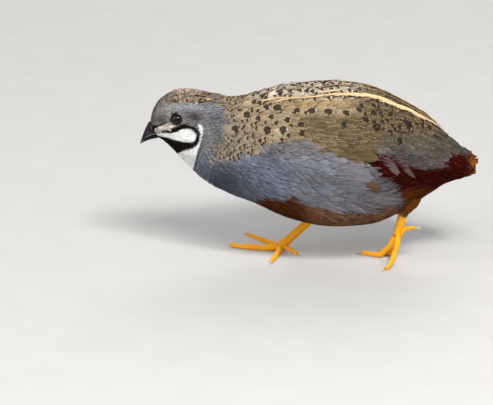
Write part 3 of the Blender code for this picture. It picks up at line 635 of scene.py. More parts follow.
def feather_form(rows, columns, roundness, point, comb):
    """A feather's template: a domed upper face and a narrow underside that share a ragged edge.

    roundness draws the edges' barbs back from the tip, point is the width left at the tip, and comb
    is how deep the barbs part. Each point has its place from root to tip, its place across as a
    share of the half width, and whether it lies underneath.
    """
    across = np.linspace(-1, 1, columns)
    ends = 1 - roundness * np.abs(across) ** 2.2 - comb * 0.35 * (np.arange(columns) % 2)
    along, sideways, under = [], [], []
    for i in range(rows + 1):
        t = i / rows
        width = 0.35 + 0.65 * smooth_step(-0.1, 0.45, t)
        width *= 1 - (1 - point) * smooth_step(0.5, 1.25, t) / smooth_step(0.5, 1.25, 1.0)
        parted = 1 - comb * (i % 2) * smooth_step(0.2, 0.6, t)
        for c, end in zip(across, ends):
            along.append(t * end)
            sideways.append(c * width * (parted if abs(c) == 1 else 1.0))
            under.append(0.0)
        along.append(t * 0.98)
        sideways.append(0.0)
        under.append(1.0)
    faces, wide = [], columns + 1
    for i in range(rows):
        a = i * wide
        b = a + wide
        for c in range(columns - 1):
            faces += [(a + c, b + c, b + c + 1), (a + c, b + c + 1, a + c + 1)]
        for left, right in ((columns, 0), (columns - 1, columns)):
            faces += [(a + left, b + left, b + right), (a + left, b + right, a + right)]
    for a, turn in ((0, 1), (rows * wide, -1)):
        for c in range(columns - 1):
            faces.append((a + c, a + c + 1, a + columns)[::turn])
    made = {"along": along, "across": sideways, "under": under, "faces": faces}
    return {key: np.array(values) for key, values in made.items()}


# How large a feather's patch of the baked map is, as shares of the map
PATCH_WIDTH, PATCH_LENGTH = 0.0015, 0.003

BODY_FORM = feather_form(7, 5, 0.24, 0.5, 0.14)
COVERT_FORM = feather_form(7, 7, 0.24, 0.68, 0.05)
PLUME_FORM = feather_form(9, 7, 0.30, 0.6, 0.08)
FACE_FORM = feather_form(4, 3, 0.2, 0.4, 0.2)
LANCE_FORM = feather_form(8, 5, 0.4, 0.2, 0.2)
VANE_FORM = feather_form(14, 5, 0.2, 0.35, 0.05)
TAIL_FORM = feather_form(12, 7, 0.16, 0.7, 0.03)
STRAND_FORM = feather_form(3, 2, 0.0, 0.15, 0.0)


def lay_feathers(surface, along, turn, heading, length, width, form, lifts, rng, **choices):
    """Feathers that grow from places on a surface and lie along it.

    heading is the way each feather points. lifts are the heights over the surface of root and tip.
    choices may hold the dome of the vane, its twist, whether each point takes its own marking, and
    a marking of its own.
    """
    count = len(along)
    root, normal = surface.at(along, turn)
    ahead = unit(heading - normal * (heading * normal).sum(-1, keepdims=True))
    beside = np.cross(normal, ahead)
    twist = rng.normal(0, choices.get("twist", 0.10), count)[:, None]
    ahead, beside = (
        ahead * np.cos(twist) + beside * np.sin(twist),
        beside * np.cos(twist) - ahead * np.sin(twist),
    )
    t, c = form["along"], form["across"]
    spots = root[:, None] + ahead[:, None] * (t[None, :] * length[:, None])[..., None]
    spots = spots + beside[:, None] * (c[None, :] * width[:, None] / 2)[..., None]
    places, turns = surface.locate(spots)
    base, normals = surface.at(places, turns)
    low, high = lifts
    low, high = np.broadcast_to(low, count)[:, None], np.broadcast_to(high, count)[:, None]
    rise = low + (high - low) * (1 - (1 - t) ** choices.get("rise", 1.6))[None, :]
    rise = rise + rng.normal(0, choices.get("loose", 0.05), count)[:, None] * t[None, :]
    rise = rise + rng.normal(0, choices.get("tilt", 0.08), count)[:, None] * c[None, :] * t[None, :]
    dome = choices.get("dome", 0.10) * width[:, None]
    rise = rise - dome * (c**2)[None, :] - form["under"][None, :] * (0.05 + 0.02 * width[:, None])
    points = base + normals * rise[..., None]
    seeds = rng.random(count)
    if choices.get("own", False):
        marks = markings(base, 0.15)
    else:
        seen = np.argmin(np.abs(t - choices.get("seen", 0.8)) + np.abs(c) + form["under"])
        where = base[:, seen] + rng.normal(0, 0.35, (count, 3))
        found = choices.get("marks") or markings(where)
        marks = {
            key: np.repeat(np.asarray(value)[:, None], len(t), 1) for key, value in found.items()
        }
    whole = np.ones((count, len(t)))
    shades, reach = whole * seeds[:, None], whole * 0.1 * length[:, None]
    patch = surface.unwrapped(along, turn)[:, None] + np.stack(
        [whole * c * PATCH_WIDTH, whole * (t - 0.5) * PATCH_LENGTH], -1
    )
    offsets = (np.arange(count) * len(t))[:, None, None]
    kept = {
        "points": points,
        "faces": form["faces"][None] + offsets,
        "vane": np.stack([whole * (c / 2 + 0.5), whole * t], -1),
        "patch": patch,
        "ground": np.concatenate([marks["ground"], shades[..., None]], -1),
        "edging": np.concatenate([marks["edging"], marks["fringe"][..., None]], -1),
        "pattern": np.stack([marks["blotch"], marks["streak"], marks["bars"], reach], -1),
    }
    return {key: values.reshape(-1, values.shape[-1]) for key, values in kept.items()}


def joined(batches):
    """Several batches of feathers as one."""
    whole = {key: [] for key in batches[0]}
    start = 0
    for batch in batches:
        for key, values in batch.items():
            whole[key].append(values + start if key == "faces" else values)
        start += len(batch["points"])
    return {key: np.concatenate(values) for key, values in whole.items()}


def feather_piece(name, batch, material, nodes=()):
    mesh = bpy.data.meshes.new(name)
    mesh.from_pydata((batch["points"] * MM).tolist(), [], batch["faces"].tolist())
    corners = np.empty(len(mesh.loops), int)
    mesh.loops.foreach_get("vertex_index", corners)
    for layer, key in (("OFBake", "patch"), ("Vane", "vane")):
        mesh.uv_layers.new(name=layer).data.foreach_set("uv", batch[key][corners].ravel())
    for key in ("ground", "edging", "pattern"):
        store(mesh, key, batch[key], "FLOAT_COLOR")
    mesh.shade_smooth()
    mesh.set_sharp_from_angle(angle=math.radians(75))
    return placed(name, mesh, material, nodes)


def store(mesh, name, values, kind="FLOAT"):
    """Values at the mesh's points, kept under a name that a material reads."""
    layer = mesh.attributes.new(name, kind, "POINT").data
    layer.foreach_set("value" if kind == "FLOAT" else "color", values.ravel())


def read_points(mesh, what="co"):
    values = np.empty(len(mesh.vertices) * 3)
    mesh.vertices.foreach_get(what, values)
    return values.reshape(-1, 3)


def placed(name, mesh, material, nodes=()):
    """A piece that rides on the bird and takes the place of the named solids."""
    piece = bpy.data.objects.new(name, mesh)
    bpy.context.scene.collection.objects.link(piece)
    mesh.materials.clear()
    mesh.materials.append(material)
    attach(piece, "root")
    if nodes:
        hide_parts(*nodes)
    return piece


def scattered(plumage, spacing_of, rng, tries=13):
    """Places on the plumage that keep their distance from each other."""
    points = plumage.grid_points()
    corner = points[:-1]
    run = points[1:] - corner
    around = np.roll(corner, -1, 1) - corner
    area = np.linalg.norm(np.cross(run, around), axis=-1)
    middles = corner + run / 2 + around / 2
    spacing = spacing_of(middles)
    wanted = area / spacing**2
    chance = (wanted / wanted.sum()).ravel()
    picks = rng.choice(len(chance), int(wanted.sum() * tries), p=chance)
    ring, spoke = np.divmod(picks, SPOKES)
    step = plumage.places[1] - plumage.places[0]
    along = plumage.places[ring] + rng.random(len(picks)) * step
    turn = plumage.turns[spoke] + rng.random(len(picks)) * 2 * math.pi / SPOKES
    spots, _ = plumage.at(along, turn)
    apart = spacing_of(spots)
    cell = float(apart.max())
    steps = [(i - 1, j - 1, m - 1) for i, j, m in np.ndindex(3, 3, 3)]
    boxes, kept = {}, []
    for k, (spot_at, near) in enumerate(zip(spots.tolist(), apart.tolist())):
        bx, by, bz = (int(v // cell) for v in spot_at)
        others = [boxes.get((bx + i, by + j, bz + m), ()) for i, j, m in steps]
        if all(math.dist(other, spot_at) >= near for box in others for other in box):
            boxes.setdefault((bx, by, bz), []).append(spot_at)
            kept.append(k)
    return along[kept], turn[kept]


def spacing_of(points):
    """How far apart feathers grow: closer in the white crescent, so that its edges are crisp."""
    x, q = points[..., 0], view_height(points)
    spacing = from_table(SPACING_AT, x)
    crisp = smooth_step(1.5, 0.0, np.abs(inside(CRESCENT, x, q))) * (x < -36)
    return spacing * (1 - 0.35 * crisp) * 0.86


def lie_of(points):
    """The way the plumage lies at points: back from the bill, down the breast, in to the tail."""
    x, y, z = points[..., 0], points[..., 1], points[..., 2]
    q = view_height(points)
    from_bill = points - np.array((-62.0, 0.0, 50.5))
    face = smooth_step(-47, -57, x)
    down = -0.45 * smooth_step(-20, -40, x) * smooth_step(52, 38, z) - 0.18 * smooth_step(30, 0, x)
    down = down - 0.25 * smooth_step(20, 45, x)
    body = np.stack([np.ones_like(x), -0.006 * y * smooth_step(0, 50, x), down], -1)
    body[..., 2] += 0.35 * smooth_step(0, 12, x) * smooth_step(34, 26, q) * smooth_step(50, 30, x)
    return unit(mixed(body, unit(from_bill), face))


def near_eye(points):
    """How far points are from the middle of the eye in a straight side view."""
    return np.hypot(points[..., 0] - EYE_ALONG, (points[..., 2] - EYE_UP) * 1.06)


def zone(plumage, along, turn):
    """Points of the outline, where they lie in the side view, and how far each part covers them."""
    points, _ = plumage.at(along, turn)
    x, q = points[..., 0], view_height(points)
    upper = smooth_step(-1.0, 1.0, inside(UPPERPARTS, x, q)) * smooth_step(-36, -30, x)
    rear = smooth_step(14, 30, x)
    low = smooth_step(44, 36, q) * smooth_step(-30, -15, x) * (1 - upper)
    return {"points": points, "x": x, "q": q, "upper": upper, "rear": rear, "low": low}


def coat(plumage, material):
    """The small feathers of the head and the contour feathers of the body."""
    rng = np.random.default_rng(11)
    along, turn = scattered(plumage, spacing_of, rng)
    where = zone(plumage, along, turn)
    clear = near_eye(where["points"]) > EYE_OPENING + 0.05
    clear &= (along < -8) | (inside(WING_AREA, where["x"], where["q"]) <= 1.5)
    along, turn = along[clear], turn[clear]
    where = {key: value[clear] for key, value in where.items()}
    heading = lie_of(where["points"])
    spacing = from_table(SPACING_AT, along)
    jitter = rng.normal(1, 0.09, len(along))
    plumed = where["rear"] * where["low"]
    upper = where["upper"] > 0.5
    length = spacing * (2.9 + 1.3 * plumed) * jitter
    width = spacing * (1.7 + 0.2 * where["upper"]) * jitter
    length = np.minimum(length, np.maximum(60.5 - along, 2.0))
    depth = from_table(DEPTH_AT, along)
    left, everywhere = turn < 0, np.ones(len(turn), bool)
    for name, first, last, chosen, form in (
        ("face_feathers", -99, -49, everywhere, FACE_FORM),
        ("cheek_feathers", -49, -41, everywhere, FACE_FORM),
        ("nape_and_throat_feathers", -41, -30, everywhere, FACE_FORM),
        ("neck_feathers", -30, -16, ~upper, BODY_FORM),
        ("left_fore_feathers", -16, 16, left & ~upper, BODY_FORM),
        ("right_fore_feathers", -16, 16, ~left & ~upper, BODY_FORM),
        ("left_rear_feathers", 16, 99, left & ~upper, BODY_FORM),
        ("right_rear_feathers", 16, 99, ~left & ~upper, BODY_FORM),
        ("left_back_feathers", -30, 99, left & upper, COVERT_FORM),
        ("right_back_feathers", -30, 99, ~left & upper, COVERT_FORM),
    ):
        chosen = chosen & (along >= first) & (along < last)
        loose, dome = (0.06, 0.08) if form is COVERT_FORM else (0.03, 0.05)
        laid = (values[chosen] for values in (along, turn, heading, length, width))
        lifts = -0.95 * depth[chosen], 0.02
        batch = lay_feathers(
            plumage, *laid, form, lifts, rng, own=form is FACE_FORM, loose=loose, tilt=loose, dome=dome
        )
        feather_piece(name, batch, material)


def strands(plumage, material):
    """Loose barbs that soften the breast, the flanks, the belly and the neck."""
    rng = np.random.default_rng(23)
    along, turn = scattered(plumage, strand_spacing, rng)
    where = zone(plumage, along, turn)
    kept = (where["upper"] < 0.5) & (where["x"] > -36) & (where["x"] < 57)
    along, turn = along[kept], turn[kept]
    points = where["points"][kept]
    heading = lie_of(points) + rng.normal(0, 0.13, (len(along), 3))
    plumed = smooth_step(10, 30, along)
    length = np.interp(along, (-36, -20, 0, 58), (1.6, 2.4, 3.0, 3.6)) * rng.normal(1, 0.2, len(along))
    width = rng.uniform(0.14, 0.26, len(along)) * (1 + 0.2 * plumed)
    marks = markings(points + heading * (length * 0.6)[:, None] + rng.normal(0, 0.5, points.shape))
    tone = rng.normal(1.04, 0.15, len(along))[:, None]
    marks["ground"] = np.clip(marks["ground"] * tone, 0, 1)
    for key in ("blotch", "streak", "bars", "fringe"):
        marks[key] = marks[key] * 0 - (key == "blotch")
    for side, name in SIDES.items():
        chosen = np.sign(turn) == side
        laid = (values[chosen] for values in (along, turn, heading, length, width))
        batch = lay_feathers(
            plumage, *laid, STRAND_FORM, (-0.25, 0.16), rng, loose=0.06, dome=0.0, twist=0.0, tilt=0.0,
            marks={key: value[chosen] for key, value in marks.items()},
        )
        feather_piece(name + "_loose_barbs", batch, material)


def strand_spacing(points):
    """How far apart the loose barbs grow."""
    return np.interp(points[..., 0], (-40, -25, 0, 58), (0.44, 0.54, 0.64, 0.66))


def routed(plumage, rows):
    """Feathers on both sides, from rows of root, tip and width as the side view shows them."""
    rows = np.array(rows, float)
    ends = []
    for column in (0, 2):
        turns = plumage.turn_at(rows[:, column], rows[:, column + 1])
        ends.append((np.tile(rows[:, column], 2), np.concatenate([-turns, turns])))
    (x0, turn0), (x1, turn1) = ends
    root, tip = plumage.at(x0, turn0)[0], plumage.at(x1, turn1)[0]
    return {
        "along": x0,
        "turn": turn0,
        "heading": tip - root,
        "length": np.linalg.norm(tip - root, axis=-1),
        "width": np.tile(rows[:, 4], 2),
    }


def tier(count, first_root, last_root, first_tip, last_tip, width):
    """A row of feathers between a first and a last one."""
    first = np.array((*first_root, *first_tip))
    last = np.array((*last_root, *last_tip))
    share = np.linspace(0, 1, count)[:, None]
    return np.concatenate([first + (last - first) * share, np.full((count, 1), width)], 1)


def wings(plumage, material):
    """The folded wings' flight feathers, and rows of coverts that overlap to the rear over them."""
    rng = np.random.default_rng(41)
    batches = []

    def lay(rows, form, lifts, own):
        laid = routed(plumage, rows)
        for key in ("width", "length"):
            laid[key] = laid[key] * rng.normal(1, 0.07, len(laid[key]))
        batches.append(
            lay_feathers(plumage, *laid.values(), form, lifts, rng, twist=0.07, own=own, dome=0.09)
        )

    lay(tier(9, (12, 50), (6, 36.5), (32, 46.5), (24, 33.0), 4.2), VANE_FORM, (-0.5, 0.02), True)
    for k, start in enumerate(np.arange(-16.5, 28.0, COVERT_STEP)):
        tip = start + COVERT_LENGTH
        top = 53.8 - 0.12 * max(tip - 14, 0)
        bottom = np.interp(tip, *np.array(WING_EDGE).T)
        count = max(3, round((top - bottom) / COVERT_GAP))
        shift = 0.75 * (k % 2)
        rows = tier(
            count, (start, top + 0.3 - shift), (start - 1.2, bottom + 0.8 - shift),
            (tip, top - shift), (tip - 0.8, bottom - shift), COVERT_WIDTH,
        )
        rows[:, [0, 2]] += rng.normal(0, 0.5, count)[:, None]
        rows[:, [1, 3]] += rng.normal(0, 0.3, (count, 2))
        lay(rows, COVERT_FORM, (-0.5, 0.22), k % 3 == 2)
    feather_piece("wing_feathers", joined(batches), material)


def own_marks(count, colour, edging, **strengths):
    """Markings that so many feathers share."""
    marks = {"ground": np.tile(colour, (count, 1)), "edging": np.tile(edging, (count, 1))}
    for key in ("blotch", "streak", "bars", "fringe"):
        marks[key] = np.full(count, strengths.get(key, 0.0))
    return marks


def shoulder_streaks(plumage, material):
    """Long feathers whose pale shafts draw the line along each side, and others with a black blotch."""
    rng = np.random.default_rng(47)
    batches = []

    def lay(laid, form, lifts, twist, marks):
        batches.append(
            lay_feathers(plumage, *laid.values(), form, lifts, rng, twist=twist, marks=marks)
        )

    line = np.array(STRIPE)
    starts = np.linspace(-20.0, 38.5, 17)
    ends = starts + np.interp(starts, (-20, 0, 38), (8.5, 11.5, 10.0))
    width = np.interp(starts, (-20, 0, 8, 20, 30, 38), (1.6, 2.0, 3.2, 4.6, 4.4, 3.0))
    rows = np.stack([starts, np.interp(starts, *line.T), ends, np.interp(ends, *line.T), width], -1)
    laid = routed(plumage, rows)
    marks = own_marks(len(laid["along"]), DUSK, GOLD, fringe=0.9, blotch=-1.0, bars=0.3)
    bold = smooth_step(-8, 12, laid["along"])
    marks["streak"] = 0.6 + 1.5 * bold
    marks["ground"] = mixed(BUFF, SCAPULAR_DARK, bold)
    lay(laid, LANCE_FORM, (-0.3, 0.34), 0.03, marks)

    laid = routed(plumage, SHORT_STREAKS)
    marks = own_marks(len(laid["along"]), BUFF, BUFF_PALE, streak=1.0)
    lay(laid, LANCE_FORM, (-0.2, 0.42), 0.02, marks)

    second = rows[::2].copy()
    second[:, [1, 3]] += np.array((3.6, 3.0))
    second[:, 4] = 2.4
    laid = routed(plumage, second)
    marks = own_marks(len(laid["along"]), DUSK, BUFF_PALE, fringe=0.5, streak=0.4, bars=0.5)
    lay(laid, LANCE_FORM, (-0.3, 0.2), 0.05, marks)

    x, q, size = np.array(BLOTCHED).T
    laid = routed(plumage, np.stack([x - 2.4 - 2.4 * size, q + 0.3, x + 1.6, q, 2.2 + 1.7 * size], -1))
    tips, _ = plumage.at(np.tile(x, 2), np.tile(plumage.turn_at(x, q), 2) * np.sign(laid["turn"]))
    marks = markings(tips)
    marks["ground"] = marks["ground"] * 1.1
    marks["blotch"] = np.tile(1.0 + 0.6 * size, 2)
    lay(laid, COVERT_FORM, (-0.4, 0.34), 0.05, marks)
    feather_piece("shoulder_feathers", joined(batches), material)


def flank_plumes(plumage, material):
    """The long soft feathers of the flanks, whose tips lie over the chestnut and the belly."""
    rng = np.random.default_rng(53)
    batches = []
    for x0, q0, x1, q1, width, colour in PLUMES:
        # Three feathers, side by side, of which the middle one lies on top and reaches farthest
        spread = np.array((-0.5, 0.5, 0.0))[:, None] * np.array((0.0, 0.5 * width, 0, 0.42 * width, 0))
        rows = np.array((x0, q0, x1, q1, width * 0.8)) + spread
        rows[:, 2] -= np.abs(spread[:, 1]) * 0.9
        laid = routed(plumage, rows)
        marks = own_marks(len(laid["along"]), colour, np.array(colour) * 1.3, fringe=0.3, blotch=-1.0)
        batches.append(
            lay_feathers(plumage, *laid.values(), PLUME_FORM, (-0.3, 0.24), rng, twist=0.05, marks=marks)
        )
    feather_piece("flank_plumes", joined(batches), material)


def tail(plumage, material):
    """The short tail's feathers, a low arch of vanes with paler tips."""
    rng = np.random.default_rng(59)
    batches = []
    for count, degrees, start, end, width, lifts in TAIL_ROWS:
        turn = np.radians(np.linspace(*degrees, count))
        turn = np.concatenate([-turn, turn])
        along, ends = np.full(len(turn), start), np.full(len(turn), end)
        ends = ends - 1.8 * np.abs(np.sin(turn)) * rng.uniform(0.6, 1.1, len(turn))
        heading = plumage.at(ends, turn)[0] - plumage.at(along, turn)[0]
        batches.append(
            lay_feathers(
                plumage, along, turn, heading, np.linalg.norm(heading, axis=-1),
                np.full(len(turn), width), TAIL_FORM, lifts, rng, twist=0.03, own=True,
            )
        )
    feather_piece("tail_feathers", joined(batches), material)


def skin(plumage, material):
    """The skin under the coat, one closed surface with the roots of the thighs."""
    points = plumage.grid_points()
    depth = from_table(DEPTH_AT, plumage.places)[:, None] + 0 * plumage.turns
    depth = depth + SOCKET_DEPTH * np.exp(-((near_eye(points) / SOCKET_RADIUS) ** 6))
    points = points - unit(plumage.normals) * depth[..., None]
    ends = [points[0].mean(0) - (0.3, 0, 0), points[-1].mean(0) + (1.0, 0, 0)]
    grid = np.arange(RINGS * SPOKES).reshape(RINGS, SPOKES)
    faces = quads(grid[:-1], grid[1:])
    for j in range(SPOKES):
        k = (j + 1) % SPOKES
        faces += [[grid.size, grid[0, k], grid[0, j]], [grid.size + 1, grid[-1, j], grid[-1, k]]]
    mesh = bpy.data.meshes.new("skin")
    mesh.from_pydata((np.concatenate([points.reshape(-1, 3), ends]) * MM).tolist(), [], faces)
    shaped = bmesh.new()
    shaped.from_mesh(mesh)
    for foot in FEET.values():
        share, turn = np.meshgrid(np.linspace(-0.02, 1.1, 12), circle(24, -math.pi), indexing="ij")
        spots, out = Thigh(foot).at(share, turn)
        shaped.from_mesh(ring_mesh("thigh", spots - out * 0.9))
    bmesh.ops.recalc_face_normals(shaped, faces=shaped.faces)
    shaped.to_mesh(mesh)
    shaped.free()
    mesh.update()
    mesh = remeshed(mesh, 0.6, 2)
    marks = markings(read_points(mesh) / MM, 0.3)
    shade = np.full((len(mesh.vertices), 1), 0.5)
    store(mesh, "ground", np.concatenate([marks["ground"] * 0.8, shade], -1), "FLOAT_COLOR")
    mesh.shade_smooth()
    placed("skin", mesh, material, FLESH)


def changed(mesh, *changes):
    """The mesh after modifiers, each given by its kind and settings."""
    holder = bpy.data.objects.new("holder", mesh)
    bpy.context.scene.collection.objects.link(holder)
    for kind, settings in changes:
        modifier = holder.modifiers.new(kind.lower(), kind)
        for setting, value in settings.items():
            setattr(modifier, setting, value)
    graph = bpy.context.evaluated_depsgraph_get()
    made = bpy.data.meshes.new_from_object(holder.evaluated_get(graph))
    bpy.data.objects.remove(holder, do_unlink=True)
    return made


def remeshed(mesh, voxel, rounds):
    """A closed mesh rebuilt from small cubes of space and softened."""
    rebuild = ("REMESH", {"mode": "VOXEL", "voxel_size": voxel * MM})
    return changed(mesh, rebuild, ("SMOOTH", {"factor": 0.5, "iterations": rounds}))


# Eyes, lids and bill


def eyes(eye_material, lid_material):
    """Eyeballs with a slight bulge over the pupil, each in its lids."""
    for side, name in SIDES.items():
        low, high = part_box(name + "_eye")
        centre = np.array((EYE_ALONG * MM, (low[1] + high[1]) / 2, EYE_UP * MM))
        shaped = bmesh.new()
        bmesh.ops.create_uvsphere(shaped, u_segments=64, v_segments=40, radius=EYE_RADIUS * MM)
        mesh = bpy.data.meshes.new(name + "_eyeball")
        shaped.to_mesh(mesh)
        shaped.free()
        spots = read_points(mesh)[:, [0, 2, 1]] * (1, side, 1)
        rim = np.hypot(spots[:, 0], spots[:, 2]) / MM
        rim = np.where(spots[:, 1] * side > 0, rim, EYE_RADIUS)
        spots[:, 1] += side * CORNEA_RISE * MM * np.exp(-((rim / CORNEA_RADIUS) ** 4))
        mesh.vertices.foreach_set("co", (spots + centre).ravel())
        store(mesh, "rim", rim)
        fix_normals(mesh)
        mesh.shade_smooth()
        placed(name + "_eyeball", mesh, eye_material, [name + "_eye"])
        lids(name, side, centre / MM, lid_material)


def fix_normals(mesh):
    """Turns the mesh's faces outwards."""
    shaped = bmesh.new()
    shaped.from_mesh(mesh)
    bmesh.ops.recalc_face_normals(shaped, faces=shaped.faces)
    shaped.to_mesh(mesh)
    shaped.free()


def lids(name, side, centre, material, sections=72, sides=14):
    """The bare rim round the eye: a fine wrinkled ring, drawn out a little at its corners."""
    rng = np.random.default_rng(5)
    around, roll = circle(sections), circle(sides)
    wrinkle = 1 + 0.10 * np.sin(around * 23) + 0.06 * rng.normal(size=sections)
    reach = EYE_OPENING + 0.12 * np.cos(around) ** 6
    out = np.stack([np.cos(around) * 1.05, 0 * around, np.sin(around) * 0.95], -1)
    sunk = math.sqrt(EYE_RADIUS**2 - EYE_OPENING**2)
    points = centre + (out * reach[:, None])[:, None]
    radius = LID_RADIUS * wrinkle[:, None]
    points = points + out[:, None] * (radius * (0.55 + np.cos(roll)))[..., None]
    points[..., 1] += side * (sunk - 0.12 + radius * np.sin(roll) * 0.9)
    placed(name + "_lids", ring_mesh(name + "_lids", points, True), material)


def quads(lower, upper):
    """Faces between rings of points, given by the points' numbers."""
    corners = [lower, np.roll(lower, -1, 1), np.roll(upper, -1, 1), upper]
    return np.stack(corners, -1).reshape(-1, 4).tolist()


def ring_mesh(name, rings, closed=False):
    """A tube through rings of points, closed on itself or capped at its ends."""
    count, sides = rings.shape[:2]
    grid = np.arange(count * sides).reshape(count, sides)
    if closed:
        faces = quads(grid, np.roll(grid, -1, 0))
    else:
        faces = quads(grid[:-1], grid[1:]) + [grid[0].tolist(), grid[-1].tolist()]
    mesh = bpy.data.meshes.new(name)
    mesh.from_pydata((rings.reshape(-1, 3) * MM).tolist(), [], faces)
    fix_normals(mesh)
    mesh.shade_smooth()
    return mesh


def curve_point(bend, t):
    """A point of a bend in the plane of symmetry, from 0 at its start to 1 at its end."""
    start, pull, end = (np.array((x, 0.0, z)) for x, z in bend)
    return start * (1 - t) ** 2 + pull * 2 * t * (1 - t) + end * t**2


def mandible(top_bend, bottom_bend, width, top_drop, rings=44, sides=56):
    """Half of the bill: rings between two curves, drawn in from the upper one by top_drop."""
    loops = []
    roll = circle(sides)
    for i in range(rings):
        t = -0.22 + i / (rings - 1) * 1.205
        top, bottom = curve_point(top_bend, t), curve_point(bottom_bend, t)
        middle, half = (top + bottom) / 2, (top - bottom) / 2
        shrink = max(0.3, 1 - top_drop / max(np.linalg.norm(top - bottom), 0.01))
        middle = middle - half / np.linalg.norm(half) * top_drop / 2
        reach = (width * (1 - max(t, 0) ** 1.6) ** 0.75 + 0.2) * (1 + min(t, 0))
        shrink *= 1 + min(t, 0) * 1.3
        ring = middle + half * (shrink * np.cos(roll))[:, None]
        ring[:, 1] += reach * np.sin(roll) * (1 - 0.28 * np.cos(roll))
        loops.append(ring)
    return np.array(loops)


def bill(material):
    """Both halves of the bill, with the nostril's slit under its flap and a painted highlight along the
    upper cutting edge.
    """
    upper = mandible(CULMEN, MOUTH_LINE, BILL_HALF_WIDTH, 0.0)
    x, z = upper[..., 0] - NOSTRIL[0], upper[..., 2] - NOSTRIL[1]
    pit = np.exp(-(np.hypot(x / 0.95, (z + 0.1) / 0.5) ** 4))
    flap = np.exp(-(np.hypot(x / 1.2, (z - 0.6) / 0.6) ** 2))
    aside = upper[..., 1]
    aside += np.sign(aside) * (0.22 * flap - 0.55 * pit) * (np.abs(aside) > 0.5)
    lower = mandible(MOUTH_LINE, GONYS, BILL_HALF_WIDTH * 0.86, MOUTH_GAP)
    line = np.array([curve_point(MOUTH_LINE, t) for t in np.linspace(0, 1, 40)])
    for node, rings in (("upper_bill", upper), ("lower_bill", lower)):
        mesh = ring_mesh(node + "_horn", rings)
        x, z = rings[..., 0].ravel(), rings[..., 2].ravel()
        over = z - np.interp(-x, -line[:, 0], line[:, 2])
        tip = smooth_step(-59.9, -61.0, x)
        # Painted highlight: a pale streak on the upper half just above the mouth line, towards the gape
        pale = np.exp(-(((over - 0.55) / 0.40) ** 2)) * smooth_step(-60.6, -59.4, x) * (rings is upper)
        nares = np.exp(-(np.hypot((x - NOSTRIL[0] - 0.5) / 1.5, (z - NOSTRIL[1] - 0.2) / 1.1) ** 4))
        tone = np.clip(0.32 + 0.68 * pale, 0, 1) * (1 - 0.9 * tip) * (1 - 0.85 * nares)
        store(mesh, "tone", tone)
        placed(node + "_horn", mesh, material, [node])


# Legs


def smooth_route(points, count):
    """A smooth line through points, as so many points."""
    points = [np.array(point, float) for point in points]
    ends = [points[0] * 2 - points[1], *points, points[-1] * 2 - points[-2]]
    found = []
    for i in range(count):
        place = i / (count - 1) * (len(points) - 1)
        k = min(int(place), len(points) - 2)
        t = place - k
        a, b, c, d = ends[k : k + 4]
        bend, twist = a * 2 - b * 5 + c * 4 - d, b * 3 - a - c * 3 + d
        found.append((b * 2 + (c - a) * t + bend * t**2 + twist * t**3) / 2)
    return np.array(found)


def limb_routes(foot):
    """The shank's and the toes' middle lines, each with its radius from end to end."""
    centre, heel = (np.array(foot[key], float) for key in ("ball", "heel"))
    share = np.linspace(0, 1.06, 24)
    thick = SHANK_RADIUS + 0.25 * np.exp(-((share * 5) ** 2))
    routes = [(centre + (heel - centre) * share[:, None], thick)]
    for digit, points in foot["toes"].items():
        route = smooth_route([centre, *points], 30)
        share = np.linspace(0, 1, 30)
        pads = 0.07 * np.cos(share * 6 * math.pi)
        radius = TOE_RADIUS[digit] * (1.12 - TOE_TAPER * share + pads)
        route[:, 2] = np.maximum(route[:, 2], radius * 0.9)
        routes.append((route, radius))
    return routes


def tube_rings(route, radius, sides=20):
    """Rings round a line."""
    ahead = unit(np.gradient(route, axis=0))
    beside = unit(np.cross(ahead, (0.02, 0.03, 1.0)))
    over = np.cross(beside, ahead)
    roll = circle(sides)
    return route[:, None] + radius[:, None, None] * (
        beside[:, None] * np.cos(roll)[:, None] + over[:, None] * np.sin(roll)[:, None]
    )


def leg_skin(name, foot, material):
    """Shank and toes in one scaly skin: scutes over the front and top, small grains beneath."""
    shaped = bmesh.new()
    routes = limb_routes(foot)
    for route, radius in routes:
        shaped.from_mesh(ring_mesh("limb", tube_rings(route, radius)))
    ball = bmesh.ops.create_uvsphere(shaped, u_segments=24, v_segments=16, radius=BALL_RADIUS * MM)
    for vertex in ball["verts"]:
        vertex.co += Vector(foot["ball"]) * MM
    mesh = bpy.data.meshes.new("leg")
    shaped.to_mesh(mesh)
    shaped.free()
    mesh = remeshed(mesh, 0.17, 4)
    spots, normals = read_points(mesh) / MM, read_points(mesh, "normal")
    count = len(spots)
    best, scute = np.full(count, 1e9), np.zeros(count)
    for k, (route, radius) in enumerate(routes):
        steps = np.concatenate([[0], np.cumsum(np.linalg.norm(np.diff(route, axis=0), axis=1))])
        fine = np.linspace(0, steps[-1], 240)
        line = np.stack([np.interp(fine, steps, route[:, axis]) for axis in range(3)], -1)
        away = np.linalg.norm(spots[:, None] - line[None], axis=-1)
        nearest = away.argmin(1)
        distance = away[np.arange(count), nearest] / np.interp(fine, steps, radius)[nearest]
        if k == 0:
            height = shank_scutes(spots - line[nearest], fine[nearest], unit(route[-1] - route[0]))
        else:
            height = toe_scutes(spots, fine[nearest], smooth_step(-0.25, 0.15, normals[:, 2]))
        closer = distance < best
        best, scute = np.where(closer, distance, best), np.where(closer, height, scute)
    spots = spots + normals * ((scute - 0.6) * SCUTE_RISE)[:, None]
    spots[:, 2] = np.maximum(spots[:, 2], 0.0)
    mesh.vertices.foreach_set("co", (spots * MM).ravel())
    store(mesh, "scute", scute)
    mesh.shade_smooth()
    nodes = [name + "_shank"] + [f"{name}_{digit}_toe" for digit in foot["toes"]]
    placed(name + "_leg_skin", mesh, material, nodes)


